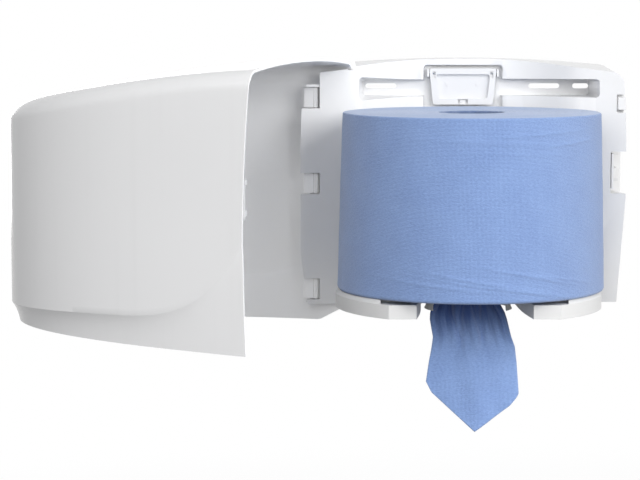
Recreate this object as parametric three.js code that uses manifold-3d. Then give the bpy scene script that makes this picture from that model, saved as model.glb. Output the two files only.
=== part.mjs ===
// A wall-mounted centrefeed roll dispenser, cover swung open, loaded with a roll of paper.
// Millimetres, +Z up, +Y into the wall, -Y towards the user. The origin is on the wall,
// midway across the body and level with the fixing slots.

import * as THREE from 'three';
import { mergeVertices } from 'three/addons/utils/BufferGeometryUtils.js';
import Module from 'manifold-3d';

const wasm = await Module();
wasm.setup();

// Clearances and cutting
const seatGap = 0.3;
const runningGap = 0.9;
const overrun = 5;
const weld = 1e-4;

// Paper roll: a coreless roll that stands on its end and feeds from its middle
const rollHeight = 185;
const rollTopRadius = 135;
const rollFootRadius = 139;
const rollBoreRadius = 33;
const rollTopRounding = 4;
const rollFootRounding = 1.5;
const rollAxisFromWall = 154;
const rollFootDrop = 207;

// Back plate: a shallow tray with a hinge column on its left
const sheet = 2.6;
const plateTop = 31.3;
const plateBottom = -237.5;
const plateHalfWidth = 177.3;
const plateSideDraft = 14.3;
const topDraftShare = 0.2;
const plateRimDepth = 62;
const panelStandoff = 12;
const archRadius = 1600;
const plateTopSlopeShare = 0.1;
const plateCornerRadius = 15;
const waistTop = -75;
const topPinch = 5;
const hingeSideWaist = -183;
const hingeSideFall = 7.6;
const rimFootStandoff = 38;
const rimFallBelow = 118;
const wingInner = 60;
const panelFlatHalfWidth = 30;
const shoulderReach = 118;
const shoulderStandoff = 47;
const shoulderSoftness = 5;
const hingeWingSlopeShare = 0.186;
const latchWingSlopeShare = 0.25;

// Recesses in the panel that carry the fixing slots
const featureShift = 2;
const recessCorner = 4;
const recessSideDraftShare = 0.12;
const centreRecessHalfWidth = 42.4;
const centreRecessTop = 21.5;
const centreRecessBottom = -27;
const centreDraftShare = 0.18;
const leftRecessTop = 6;
const leftRecessInset = 9.2;
const leftDraftShare = 0.12;
const rightRecessTop = 8;
const rightRecessInset = 21;
const rightDraftShare = 0.02;
const sideRecessBottom = -10;
const slotHeight = 5.6;
const longSlotLength = 34.4;
const shortSlotLength = 17.8;
const shortSlotInset = 11;
const slotPitch = 40.5;

// Hinge column, its slanting face and the three hinges
const columnReach = 117.5;
const wingTopDrop = 1.9;
const wingReliefWidth = 8;
const wingReliefLevel = 18.6;
const hingeInset = 16.3;
const hingeSetback = 8.818;
const hingePinRadius = 2;
const hingePinGap = 0.3;
const hingeArmHeight = 21.6;
const hingeLevels = [-11, -104.8, -221];
const hingeLugThickness = 2.8;
const hingeLugRadius = 6.5;
const hingeArmLength = 14;
const hingeBarrelRadius = 3.6;
const notchDepth = 20.8;
const lugInset = 5.8;

// Cover: a deep shell with a rounded-square plan, a falling top and a swept lower band
const coverSideGap = 2.1;
const coverDepth = 290.5;
const coverWall = 2.5;
const coverRimStandoff = 9;
const coverPlanPower = 3.77;
const coverTop = 34;
const coverSideFall = 7.9;
const coverSidePower = 2.15;
const coverFrontFall = 43.6;
const coverFrontPower = 1.54;
const coverEdgeRadius = 16.8;
const coverEdgeSpreadShare = 0.099;
const latchRimBottom = -245.5;
const latchBottomRise = 13;
const latchBottomFlick = 4.9;
const hingeBottomDrop = 30;
const rimChamferDepth = 35.6;
const rimChamferRise = 17;
const sweepLevel = -210;
const sweepRise = 72;
const sweepReach = 135;
const sweepPower = 2.8;
const sweepInset = 3;
const sweepStep = 3.5;
const rimHollow = 7.2;
const rimHollowLevel = -150;
const rimHollowHalfHeight = 168;
const rimHollowLowShare = 0.9;
const rimHollowSteps = 14;
const openAngleDegrees = 106.6;
const coverSideShares = [0, 0.05, 0.1, 0.16, 0.23, 0.31, 0.4, 0.5, 0.6, 0.68, 0.74, 0.79, 0.83];
const coverFrontShares = [0.79, 0.74, 0.68, 0.6, 0.5, 0.36, 0.18];
const coverLowerRows = 2;
const coverUpperRows = 6;
const coverEdgeRows = 5;
const coverTopShares = [0.88, 0.74, 0.56, 0.36, 0.17, 0];

// Catch on the cover and the slide that keeps it shut
const catchThickness = 2.2;
const catchFootThickness = 2.9;
const catchFootSetback = 3;
const catchDepth = 10;
const catchHookReach = 8.4;
const catchHookStandout = 0.7;
const catchHookDepth = 3.8;
const catchHookHeight = 5;
const catchTop = -76;
const catchBottom = -114.5;
const catchLowerHookTop = -105.5;
const catchScrewLevels = [-89, -98];
const catchScrewHeadRadius = 2.4;
const catchScrewHeadHeight = 1.4;
const catchScrewShankRadius = 1.2;
const catchScrewHoleGap = 0.3;
const nicheTop = -69.6;
const nicheBottom = -115.4;
const nicheDepth = 16.3;
const nicheBackStandoff = 5.6;
const nicheBackStandout = 1.1;
const slideTravel = 4;
const slideThickness = 2.4;
const slideTop = -72;
const slideBottom = -110.6;
const slideBackStandoff = 19.2;
const slideFrontStandoff = 57;
const slideNoseReach = 9.3;
const slideNoseHeight = 3.4;
const slideNoseDepth = 3.4;
const slideBlockTop = -88;
const slideBlockHeight = 12;
const slideBlockReach = 5;
const slideBlockDepth = 14;
const guideScrewBack = 23;
const guideScrewLevel = -96.5;
const guideScrewShankRadius = 1.6;
const guideScrewHeadRadius = 3.4;
const guideScrewHeadHeight = 1.8;
const guideScrewGap = 0.4;
const guideScrewLength = 5;

// Guide clip in the upper right of the rim
const clipTop = -7.5;
const clipBottom = -27;
const clipInset = 10.3;
const clipWidth = 9.4;
const clipFrontY = -60.4;
const clipBackY = -49.5;
const clipRootThickness = 3;
const clipNoseLead = 1;
const clipNoseGap = 2.6;

// Flap in the middle of the panel
const flapTop = 19.6;
const flapBottom = -20.3;
const flapTopHalfWidth = 37.3;
const flapFootHalfWidth = 33;
const flapFrameWidth = 6.6;
const flapFrameThickness = 5;
const flapPanelThickness = 1.6;
const flapBackStandoff = 8;
const flapPivotLevel = 14.5;
const flapPinRadius = 1.4;
const flapPinGap = 0.3;
const flapPinLength = 9.6;
const flapEarThickness = 2;
const flapEarGap = 0.8;
const flapEarHalfHeight = 4;
const flapInnerCorner = 3;
const flapTabWidth = 11;
const flapTabHeight = 5;
const flapTongueWidth = 6;
const flapPipRadius = 2.2;
const flapPipHeight = 0.6;
const flapPipOffset = 16.6;
const flapPipLevel = 2;
const flapHookWidth = 3.3;
const flapHookHeight = 6;
const flapHookDepth = 2.2;

// Shelf that the roll stands on
const shelfRadius = 139.5;
const shelfHeight = 18.4;
const shelfTopThickness = 3;
const shelfWall = 2.6;
const shelfBevelWidth = 3;
const shelfBevelHeight = 4;
const shelfFrontReach = 109;
const shelfBlockHalfWidth = 95;
const shelfBlockDepth = 48;
const gateFrontHalfWidth = 59;
const gateRadius = 50.5;
const gateFlareSteps = 5;
const thumbReliefHalfWidth = 95;
const thumbReliefDepth = 27;
const thumbReliefDrop = 4;
const shelfEarInner = 60;
const shelfEarOuter = 82;
const shelfEarRise = 22;
const shelfEarStandoff = 27.5;
const shelfScrewOffset = 71;
const shelfScrewLow = -215;
const shelfScrewHigh = -194;
const shelfScrewShankRadius = 1.9;
const shelfScrewHeadRadius = 4;
const shelfScrewHeadHeight = 2.4;
const shelfScrewHoleGap = 0.35;
const shelfScrewLength = 13;
const ledgeDrop = 6.3;
const ledgeThickness = 2.4;
const ledgeWidth = 3.3;
const ledgeFrontReach = 51;

// Feed nozzle, which slides into the gate of the shelf
const nozzleFlangeThickness = 2;
const nozzleBoreRadius = 41.5;
const nozzleWall = 3.2;
const nozzleDepth = 17;
const nozzleLip = 1.6;
const nozzleLipHeight = 3;
const nozzleSlotHalfWidth = 38;
const nozzleFrontReach = 49;

// Paper tail that hangs out of the roll's middle
const tailThickness = 2.6;
const tailTop = -88;
const tailClimbTop = -140;
const tailClimbFoot = -203;
const tailTip = -358;
const tailLeftCorner = -306.7;
const tailRightCorner = -319;
const tailTipShare = 0.53;
const tailFoldDepth = 5.5;
const tailFolds = 1.35;
const tailFoldStart = 0.15;
const tailColumns = 26;
const tailRows = 20;
// Each level of the tail, its left edge and its right edge
const tailLevels = [-88, -190, -209, -226, -242, -258, -273, -306.7, -358];
const tailLeftEdges = [-11, -17, -26, -37.6, -39.5, -38, -40.5, -46, -46];
const tailRightEdges = [11, 16, 25, 34.4, 39, 44.3, 48.8, 52, 52];

// Facet counts
const roundFacets = 96;
const pinFacets = 20;
const cornerFacets = 6;
const archFacets = 14;
const panelSteps = 40;

// Places that follow from the sizes
const rollFoot = -rollFootDrop;
const rollY = -rollAxisFromWall;
const shelfTop = rollFoot - seatGap;
const shelfBottom = shelfTop - shelfHeight;
const panelFront = -panelStandoff;
const rimFront = -plateRimDepth;
const coverRimY = -coverRimStandoff;
const plateBackReach = plateHalfWidth - plateSideDraft;
const leftRecessReach = columnReach - leftRecessInset;
const rightRecessReach = plateBackReach - rightRecessInset;
const shortSlotOffset = rightRecessReach - shortSlotInset;
const longSlotOffset = shortSlotOffset - slotPitch;
const hingeX = hingeInset - plateHalfWidth;
const hingeStandoff = panelReach(hingeX) - hingeSetback;
const hingeY = -hingeStandoff;
const notchInnerReach = plateHalfWidth - notchDepth;
const lugReach = plateHalfWidth - lugInset;
const nicheInner = plateHalfWidth - nicheDepth;
const nicheBackReach = plateHalfWidth + nicheBackStandout;
const clipInner = plateHalfWidth - clipInset;
const clipOuter = clipInner + clipWidth;
const coverInnerX = plateHalfWidth + coverSideGap;
const coverWidth = 2 * (coverInnerX + coverWall);
const farReach = 2 * coverWidth;
const armHalf = hingeArmHeight / 2;
const notchHalf = armHalf + runningGap;
const slideFaceX = nicheInner + runningGap;
const pinBoreRadius = hingePinRadius + hingePinGap;

const shelfScrewPlaces = [
  [-shelfScrewOffset, shelfScrewLow],
  [shelfScrewOffset, shelfScrewLow],
  [-shelfScrewOffset, shelfScrewHigh],
  [shelfScrewOffset, shelfScrewHigh],
];

// Solids from three.js geometry

function orient(positions) {
  let volume = 0;
  const a = new THREE.Vector3();
  const b = new THREE.Vector3();
  const c = new THREE.Vector3();
  for (let i = 0; i < positions.length; i += 9) {
    a.fromArray(positions, i);
    b.fromArray(positions, i + 3);
    c.fromArray(positions, i + 6);
    volume += a.dot(b.cross(c));
  }
  if (volume < 0) {
    for (let i = 0; i < positions.length; i += 9) {
      for (let k = 0; k < 3; k += 1) {
        const kept = positions[i + 3 + k];
        positions[i + 3 + k] = positions[i + 6 + k];
        positions[i + 6 + k] = kept;
      }
    }
  }
  return positions;
}

function fromTriangles(points) {
  const positions = orient(points.flatMap((p) => [p.x, p.y, p.z]));
  const geometry = new THREE.BufferGeometry();
  geometry.setAttribute('position', new THREE.Float32BufferAttribute(positions, 3));
  return geometry;
}

function toSolid(geometry) {
  const plain = geometry.index ? geometry.toNonIndexed() : geometry.clone();
  plain.deleteAttribute('normal');
  plain.deleteAttribute('uv');
  const merged = mergeVertices(plain, weld);
  const index = merged.index.array;
  const kept = [];
  for (let i = 0; i < index.length; i += 3) {
    const [a, b, c] = [index[i], index[i + 1], index[i + 2]];
    if (a !== b && b !== c && c !== a) kept.push(a, b, c);
  }
  return new wasm.Manifold(new wasm.Mesh({
    numProp: 3,
    vertProperties: new Float32Array(merged.attributes.position.array),
    triVerts: new Uint32Array(kept),
  }));
}

function toGeometry(solid) {
  const mesh = solid.getMesh();
  const geometry = new THREE.BufferGeometry();
  geometry.setAttribute('position', new THREE.BufferAttribute(mesh.vertProperties, 3));
  geometry.setIndex(new THREE.BufferAttribute(mesh.triVerts, 1));
  const flat = geometry.toNonIndexed();
  flat.computeVertexNormals();
  return flat;
}

function join(...solids) {
  return solids.reduce((all, next) => all.add(next));
}

function cut(solid, ...tools) {
  return tools.reduce((left, tool) => left.subtract(tool), solid);
}

function box(x0, x1, y0, y1, z0, z1) {
  const geometry = new THREE.BoxGeometry(x1 - x0, y1 - y0, z1 - z0);
  geometry.translate((x0 + x1) / 2, (y0 + y1) / 2, (z0 + z1) / 2);
  return toSolid(geometry);
}

function shapeOf(points) {
  return new THREE.Shape(points.map(([x, y]) => new THREE.Vector2(x, y)));
}

function extrude(shape, length) {
  return new THREE.ExtrudeGeometry(shape, { depth: length, bevelEnabled: false, curveSegments: cornerFacets });
}

/** A plan outline in X and Y, raised from z0 to z1. */
function prismZ(shape, z0, z1) {
  const geometry = extrude(shape, z1 - z0);
  geometry.translate(0, 0, z0);
  return toSolid(geometry);
}

/** A front outline in X and Z, run from y0 back to y1. */
function prismY(shape, y0, y1) {
  const geometry = extrude(shape, y1 - y0);
  geometry.rotateX(Math.PI / 2);
  geometry.translate(0, y1, 0);
  return toSolid(geometry);
}

/** A side outline in Y and Z, run from x0 to x1. */
function prismX(shape, x0, x1) {
  const geometry = extrude(shape, x1 - x0);
  const turn = new THREE.Matrix4().makeBasis(
    new THREE.Vector3(0, 1, 0),
    new THREE.Vector3(0, 0, 1),
    new THREE.Vector3(1, 0, 0),
  );
  geometry.applyMatrix4(turn);
  geometry.translate(x0, 0, 0);
  return toSolid(geometry);
}

function cylinderZ(x, y, radius, z0, z1, facets = pinFacets) {
  const geometry = new THREE.CylinderGeometry(radius, radius, z1 - z0, facets);
  geometry.rotateX(Math.PI / 2);
  geometry.translate(x, y, (z0 + z1) / 2);
  return toSolid(geometry);
}

function cylinderY(x, z, radius, y0, y1, facets = pinFacets) {
  const geometry = new THREE.CylinderGeometry(radius, radius, y1 - y0, facets);
  geometry.translate(x, (y0 + y1) / 2, z);
  return toSolid(geometry);
}

function cylinderX(y, z, radius, x0, x1, facets = pinFacets) {
  const geometry = new THREE.CylinderGeometry(radius, radius, x1 - x0, facets);
  geometry.rotateZ(Math.PI / 2);
  geometry.translate((x0 + x1) / 2, y, z);
  return toSolid(geometry);
}

/** A profile of [radius, height] pairs revolved about the roll's axis. */
function revolve(profile, facets = roundFacets) {
  const geometry = new THREE.LatheGeometry(profile.map(([r, z]) => new THREE.Vector2(r, z)), facets);
  geometry.rotateX(Math.PI / 2);
  geometry.translate(0, rollY, 0);
  const plain = geometry.toNonIndexed();
  const points = [];
  const place = plain.attributes.position;
  for (let i = 0; i < place.count; i += 1) points.push(new THREE.Vector3().fromBufferAttribute(place, i));
  return toSolid(fromTriangles(points));
}

/** A skin through rings of like points, closed at both ends. */
function loft(rings, flatten) {
  const points = [];
  for (let r = 0; r + 1 < rings.length; r += 1) {
    const near = rings[r];
    const far = rings[r + 1];
    for (let i = 0; i < near.length; i += 1) {
      const j = (i + 1) % near.length;
      points.push(near[i], near[j], far[j], near[i], far[j], far[i]);
    }
  }
  const ends = [rings[0], rings[rings.length - 1]];
  ends.forEach((ring, side) => {
    const faces = THREE.ShapeUtils.triangulateShape(ring.map(flatten), []);
    const first = signOf(ring.map(flatten));
    faces.forEach(([a, b, c]) => {
      const ahead = (first > 0) === (side === 1);
      const flip = ahead !== (signOf([ring[a], ring[b], ring[c]].map(flatten)) === first);
      if (flip) points.push(ring[a], ring[c], ring[b]);
      else points.push(ring[a], ring[b], ring[c]);
    });
  });
  return toSolid(fromTriangles(points));
}

function signOf(ring) {
  return THREE.ShapeUtils.area(ring) > 0 ? 1 : -1;
}

/** Two like grids of points, joined round their borders into a thin closed wall. */
function thinWall(outer, inner) {
  const points = [];
  const rows = outer.length;
  const columns = outer[0].length;
  const quad = (a, b, c, d) => points.push(a, b, c, a, c, d);
  for (let r = 0; r + 1 < rows; r += 1) {
    for (let c = 0; c + 1 < columns; c += 1) {
      quad(outer[r][c], outer[r][c + 1], outer[r + 1][c + 1], outer[r + 1][c]);
      quad(inner[r][c], inner[r + 1][c], inner[r + 1][c + 1], inner[r][c + 1]);
    }
    quad(outer[r][0], outer[r + 1][0], inner[r + 1][0], inner[r][0]);
    quad(inner[r][columns - 1], inner[r + 1][columns - 1], outer[r + 1][columns - 1], outer[r][columns - 1]);
  }
  for (let c = 0; c + 1 < columns; c += 1) {
    quad(inner[0][c], inner[0][c + 1], outer[0][c + 1], outer[0][c]);
    quad(outer[rows - 1][c], outer[rows - 1][c + 1], inner[rows - 1][c + 1], inner[rows - 1][c]);
  }
  return toSolid(fromTriangles(points));
}

function spread(from, to, steps) {
  return Array.from({ length: steps + 1 }, (_, i) => from + ((to - from) * i) / steps);
}

function smooth(share) {
  const t = Math.min(1, Math.max(0, share));
  return t * t * (3 - 2 * t);
}

/** The value at z of a table whose levels run downwards. */
function alongLevels(levels, values, z) {
  const i = Math.max(0, Math.min(levels.length - 2, levels.findIndex((level) => level < z) - 1));
  const last = z <= levels[levels.length - 1] ? levels.length - 2 : i;
  const share = (levels[last] - z) / (levels[last] - levels[last + 1]);
  return values[last] + (values[last + 1] - values[last]) * smooth(share);
}

// Back plate

/** How far the upper sides draw in above the waist. */
function sidePinch(z) {
  return z > waistTop ? topPinch * ((z - waistTop) / (plateTop - waistTop)) ** 2 : 0;
}

/** How far the hinge side draws in again near its foot. */
function hingeSidePinch(z) {
  const foot = hingeSideFall * Math.max(0, (hingeSideWaist - z) / (hingeSideWaist - plateBottom));
  return sidePinch(z) + foot;
}

/** The latch side of the rim, which draws in towards the wall, though hardly at its upper corner. */
function rimRight(z, y) {
  const climb = Math.max(0, (z - waistTop) / (plateTop - waistTop));
  const draft = plateSideDraft * (1 - (1 - topDraftShare) * climb ** 2);
  return plateHalfWidth - draft * (1 + y / plateRimDepth) - sidePinch(z);
}

function plateTopAt(x, y) {
  return plateTop - (x * x) / (2 * archRadius) + plateTopSlopeShare * y;
}

/** How far the front stands off the wall: flat behind the roll, curving forward into a wing on each side. */
function panelReach(x) {
  const out = Math.abs(x);
  const rise = Math.max(0, out - panelFlatHalfWidth) / (shoulderReach - panelFlatHalfWidth);
  const curve = panelStandoff + (shoulderStandoff - panelStandoff) * rise ** 2;
  const slope = x < 0 ? hingeWingSlopeShare : latchWingSlopeShare;
  const wing = shoulderStandoff + slope * (out - shoulderReach);
  return (curve + wing - Math.hypot(curve - wing, shoulderSoftness)) / 2;
}

function panelLine(x0, x1, offset) {
  return spread(x0, x1, panelSteps).map((x) => [x, offset - panelReach(x)]);
}

/** Everything in plan that lies behind the panel's front, moved back by offset. */
function panelPlan(offset) {
  const left = -columnReach - overrun;
  const right = plateHalfWidth + overrun;
  return shapeOf([...panelLine(left, right, offset), [right, 2 * overrun], [left, 2 * overrun]]);
}

/** The tray's outline at depth y, drawn in by inset. */
function trayRing(y, inset) {
  let cornerZ = plateTop - plateCornerRadius;
  let cornerX = plateBackReach;
  for (let pass = 0; pass < cornerFacets; pass += 1) {
    cornerX = rimRight(cornerZ, y) - plateCornerRadius;
    cornerZ = plateTopAt(cornerX, y) - plateCornerRadius;
  }
  const left = -columnReach + inset;
  const bottom = plateBottom + inset;
  const outline = [[left, bottom], [rimRight(bottom, y) - inset, bottom]];
  spread(waistTop, cornerZ, cornerFacets).forEach((z) => outline.push([rimRight(z, y) - inset, z]));
  spread(0, Math.PI / 2, cornerFacets).slice(1).forEach((a) => {
    const radius = plateCornerRadius - inset;
    outline.push([cornerX + radius * Math.cos(a), cornerZ + radius * Math.sin(a)]);
  });
  spread(cornerX, left, archFacets).slice(1).forEach((x) => outline.push([x, plateTopAt(x, y) - inset]));
  return outline.map(([x, z]) => new THREE.Vector3(x, y, z));
}

function frontView(p) {
  return new THREE.Vector2(p.x, p.z);
}

/** Everything behind the curved front, within the tray's outline. */
function trayBody(inset, back) {
  const front = rimFront - overrun;
  const outline = loft([trayRing(front, inset), trayRing(back, inset)], frontView);
  const plan = prismZ(panelPlan(inset), plateBottom - overrun, plateTop + overrun);
  return cut(outline.intersect(plan), inFrontOfFoot(inset));
}

/** The lower right of the front leans back towards its foot. */
function inFrontOfFoot(inset) {
  const front = rimFront - plateRimDepth;
  const shape = shapeOf([[front, -rimFallBelow], [rimFront + inset, -rimFallBelow],
    [-rimFootStandoff + inset, plateBottom], [-rimFootStandoff + inset, plateBottom - overrun],
    [front, plateBottom - overrun]]);
  return prismX(shape, wingInner, plateHalfWidth + 2 * overrun);
}

/** All that lies above the arched top, whose surface also falls towards the front. */
function aboveTop() {
  const ring = (y) => {
    const arch = spread(-farReach / 2, farReach / 2, 2 * archFacets).map((x) => [x, plateTopAt(x, y)]);
    const outline = [...arch, [farReach / 2, farReach], [-farReach / 2, farReach]];
    return outline.map(([x, z]) => new THREE.Vector3(x, y, z));
  };
  return loft([ring(rimFront - plateRimDepth), ring(overrun)], frontView);
}

function roundedRing(x0, x1, z0, z1, radius, y) {
  const corners = [[x1 - radius, z1 - radius, 0], [x0 + radius, z1 - radius, 1],
    [x0 + radius, z0 + radius, 2], [x1 - radius, z0 + radius, 3]];
  return corners.flatMap(([x, z, quarter]) => spread(0, Math.PI / 2, cornerFacets).map((a) => {
    const turn = a + (quarter * Math.PI) / 2;
    return new THREE.Vector3(x + radius * Math.cos(turn), y, z + radius * Math.sin(turn));
  }));
}

// Each recess at its floor: its left, right, foot and top, and how much its foot and top flare
const recesses = [
  [featureShift - centreRecessHalfWidth, featureShift + centreRecessHalfWidth, centreRecessBottom,
    centreRecessTop, centreDraftShare],
  [-leftRecessReach, featureShift - centreRecessHalfWidth / 2, sideRecessBottom, leftRecessTop, leftDraftShare],
  [featureShift + centreRecessHalfWidth / 2, rightRecessReach, sideRecessBottom, rightRecessTop,
    rightDraftShare],
];

/** A block that flares from its floor towards the front, grown by a wall's thickness where it is asked to be. */
function recessBlock([x0, x1, z0, z1, draftShare], grow, back) {
  const ring = (y) => {
    const across = grow - recessSideDraftShare * y;
    const up = grow - draftShare * y;
    return roundedRing(x0 - across, x1 + across, z0 - up, z1 + up, recessCorner + grow, y);
  };
  return loft([ring(rimFront - overrun), ring(back)], frontView);
}

function slotCutter(centre, length) {
  const radius = slotHeight / 2;
  const half = length / 2 - radius;
  const shape = new THREE.Shape();
  shape.absarc(centre + half, 0, radius, -Math.PI / 2, Math.PI / 2);
  shape.absarc(centre - half, 0, radius, Math.PI / 2, (3 * Math.PI) / 2);
  return prismY(shape, panelFront, overrun);
}

/** A bend in plan from point a round corner b to point c. */
function bend(a, b, c, radius, steps) {
  const corner = new THREE.Vector2(...b);
  const towardsA = new THREE.Vector2(...a).sub(corner).normalize();
  const towardsC = new THREE.Vector2(...c).sub(corner).normalize();
  const half = towardsA.angleTo(towardsC) / 2;
  const start = corner.clone().addScaledVector(towardsA, radius / Math.tan(half));
  const end = corner.clone().addScaledVector(towardsC, radius / Math.tan(half));
  return spread(0, 1, steps).map((t) => {
    const p = start.clone().multiplyScalar((1 - t) ** 2);
    p.addScaledVector(corner, 2 * t * (1 - t));
    p.addScaledVector(end, t ** 2);
    return [p.x, p.y];
  });
}

/** The wing that stands free of the wall on the hinge side, with a notch for each arm. */
function hingeWing() {
  const inner = -columnReach + sheet;
  const line = panelLine(-plateHalfWidth, inner, 0);
  const face = prismZ(shapeOf([...line, ...panelLine(-plateHalfWidth, inner, sheet).reverse()]),
    plateBottom, plateTop + overrun);
  const side = spread(plateBottom, plateTop, 2 * archFacets).map((z) => [-plateHalfWidth + hingeSidePinch(z), z]);
  const outside = shapeOf([[-farReach / 2, plateBottom - overrun], [side[0][0], plateBottom - overrun],
    ...side, [side[side.length - 1][0], farReach / 2], [-farReach / 2, farReach / 2]]);
  const notches = hingeLevels.map((level, i) => box(
    -plateHalfWidth - overrun,
    -notchInnerReach,
    rimFront - overrun,
    -hingeStandoff / 2,
    level - notchHalf,
    i === 0 ? farReach / 2 : level + notchHalf,
  ));
  const above = aboveTop().translate([0, 0, -wingTopDrop]);
  const relief = box(-columnReach - wingReliefWidth, -columnReach, rimFront - overrun, overrun, wingReliefLevel, farReach / 2);
  return cut(face, above, relief, prismY(outside, rimFront - overrun, overrun), ...notches);
}

function hingeLugShape() {
  const inner = -notchInnerReach + sheet;
  const outline = [[-lugReach, sheet / 2 - panelReach(-lugReach)], [inner, sheet / 2 - panelReach(inner)]];
  spread(0, Math.PI, 2 * cornerFacets).forEach((a) => {
    outline.push([hingeX + hingeLugRadius * Math.cos(a), hingeY + hingeLugRadius * Math.sin(a)]);
  });
  return shapeOf(outline);
}

function hingeLugs() {
  return hingeLevels.flatMap((level) => [
    prismZ(hingeLugShape(), level - notchHalf - hingeLugThickness, level - notchHalf),
    prismZ(hingeLugShape(), level + notchHalf, level + notchHalf + hingeLugThickness),
  ]);
}

function lockNiche(tray) {
  const front = rimFront - overrun;
  const outside = plateHalfWidth + overrun;
  const low = nicheBottom - sheet;
  const high = nicheTop + sheet;
  const block = join(
    box(nicheInner - sheet, outside, front, -nicheBackStandoff + sheet, low, high).intersect(tray),
    box(nicheInner - sheet, nicheBackReach, -nicheBackStandoff, -nicheBackStandoff + sheet, low, high),
  );
  const hollow = box(nicheInner, outside, front, -nicheBackStandoff, nicheBottom, nicheTop);
  return { block, hollow };
}

function flapEars() {
  return [-1, 1].map((side) => {
    const near = featureShift + side * (flapHalfWidthAt(flapPivotLevel) + flapEarGap);
    const far = near + side * flapEarThickness;
    return box(
      Math.min(near, far),
      Math.max(near, far),
      flapPivotY - flapPinRadius - flapEarThickness,
      -sheet / 2,
      flapPivotLevel - flapEarHalfHeight,
      flapPivotLevel + flapEarHalfHeight,
    );
  });
}

function backPlate() {
  const whole = trayBody(0, 0);
  const { block, hollow } = lockNiche(whole);
  const walls = recesses.map((recess) => recessBlock(recess, sheet, 0).intersect(whole));
  const hollows = recesses.map((recess) => recessBlock(recess, 0, -sheet));
  const tray = cut(whole, trayBody(sheet, overrun));
  const body = cut(join(tray, ...walls, hingeWing(), ...hingeLugs(), block), ...hollows, aboveTop());
  return cut(
    join(body, ...flapEars()),
    hollow,
    box(clipInner - seatGap, plateHalfWidth + overrun, rimFront - overrun, clipBackY + seatGap, clipBottom, clipTop),
    slotCutter(featureShift - longSlotOffset, longSlotLength),
    slotCutter(featureShift + longSlotOffset, longSlotLength),
    slotCutter(featureShift + shortSlotOffset, shortSlotLength),
    cylinderZ(hingeX, hingeY, pinBoreRadius, plateBottom - overrun, plateTop + overrun),
    ...[-1, 1].map((side) => flapPin(side, flapPinGap)),
    ...shelfScrewPlaces.map(([x, z]) => (
      cylinderY(x, z, shelfScrewShankRadius + shelfScrewHoleGap, -shelfEarStandoff, -sheet)
    )),
    cylinderX(-guideScrewBack, guideScrewLevel, guideScrewShankRadius + guideScrewGap,
      nicheInner - guideScrewLength - overrun, nicheInner + overrun),
  );
}

// Hinge pins

function hingePin(level) {
  const half = notchHalf + hingeLugThickness;
  return cylinderZ(hingeX, hingeY, hingePinRadius, level - half, level + half);
}

// Cover, worked out in its closed place

function planPoint(angle, halfWidth, depth) {
  const power = 2 / coverPlanPower;
  const across = Math.cos(angle);
  return [
    halfWidth * Math.sign(across) * Math.abs(across) ** power,
    depth * Math.max(0, Math.sin(angle)) ** power,
  ];
}

function coverTopAt(u, v) {
  const side = Math.abs((2 * u) / coverWidth) ** coverSidePower;
  const front = (v / coverDepth) ** coverFrontPower;
  return coverTop - coverSideFall * side - coverFrontFall * front;
}

/** The lower edge: it rises forward on the latch side and hangs lower on the hinge side. */
function coverBottomAt(u, v) {
  const forward = v / coverDepth;
  const latch = latchRimBottom + latchBottomRise * forward + latchBottomFlick * forward ** 3;
  const across = smooth(-(2 * u) / coverWidth);
  const front = latchRimBottom + latchBottomRise + latchBottomFlick;
  if (u >= 0) return latch;
  const chamfer = rimChamferRise * Math.max(0, 1 - v / rimChamferDepth);
  return front - hingeBottomDrop * across + chamfer;
}

/** The swept crease that runs low round the front and climbs to the rim on each side. */
function sweepAt(v) {
  const share = Math.max(0, 1 - v / sweepReach);
  return sweepLevel + sweepRise * share ** sweepPower;
}

/** How far the rim draws back from the wall at a height: a shallow hollow below the top corner. */
function rimHollowAt(z) {
  return rimHollow * Math.max(0, 1 - ((z - rimHollowLevel) / rimHollowHalfHeight) ** 2);
}

/** Angles round the plan, from the latch rim round the front to the hinge rim. */
function coverAngles() {
  const power = coverPlanPower / 2;
  const side = coverSideShares.map((share) => Math.asin(share ** power));
  const front = coverFrontShares.map((share) => Math.acos(share ** power));
  const half = [...side, ...front];
  return [...half, Math.PI / 2, ...half.map((a) => Math.PI - a).reverse()];
}

/** One skin of the cover as rows of points, from its lower edge up to the middle of its rim. */
function coverSkin(wall) {
  const halfWidth = coverWidth / 2 - wall;
  const depth = coverDepth - wall;
  const radius = coverEdgeRadius - wall;
  const spot = (u, v, z) => new THREE.Vector3(u, coverRimY - v, z);
  const columns = coverAngles().map((angle) => {
    const [u, v] = planPoint(angle, halfWidth, depth);
    const wallTop = coverTopAt(u, v) - wall - radius;
    const bottom = coverBottomAt(u, v);
    const crease = sweepAt(v);
    const [innerU, innerV] = planPoint(angle, halfWidth - sweepInset, depth - sweepInset);
    const lowEnd = crease - sweepStep;
    const column = spread(bottom, lowEnd, coverLowerRows).map((z) => spot(innerU, innerV, z));
    spread(crease, wallTop, coverUpperRows).forEach((z) => column.push(spot(u, v, z)));
    spread(0, Math.PI / 2, coverEdgeRows).slice(1).forEach((a) => {
      const share = 1 - coverEdgeSpreadShare * (1 - Math.cos(a));
      const z = coverTopAt(u * share, v * share) - wall - radius * (1 - Math.sin(a));
      column.push(spot(u * share, v * share, z));
    });
    coverTopShares.forEach((share) => {
      column.push(spot(u * share, v * share, coverTopAt(u * share, v * share) - wall));
    });
    return column;
  });
  return columns[0].map((_, row) => columns.map((column) => column[row]));
}

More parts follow.
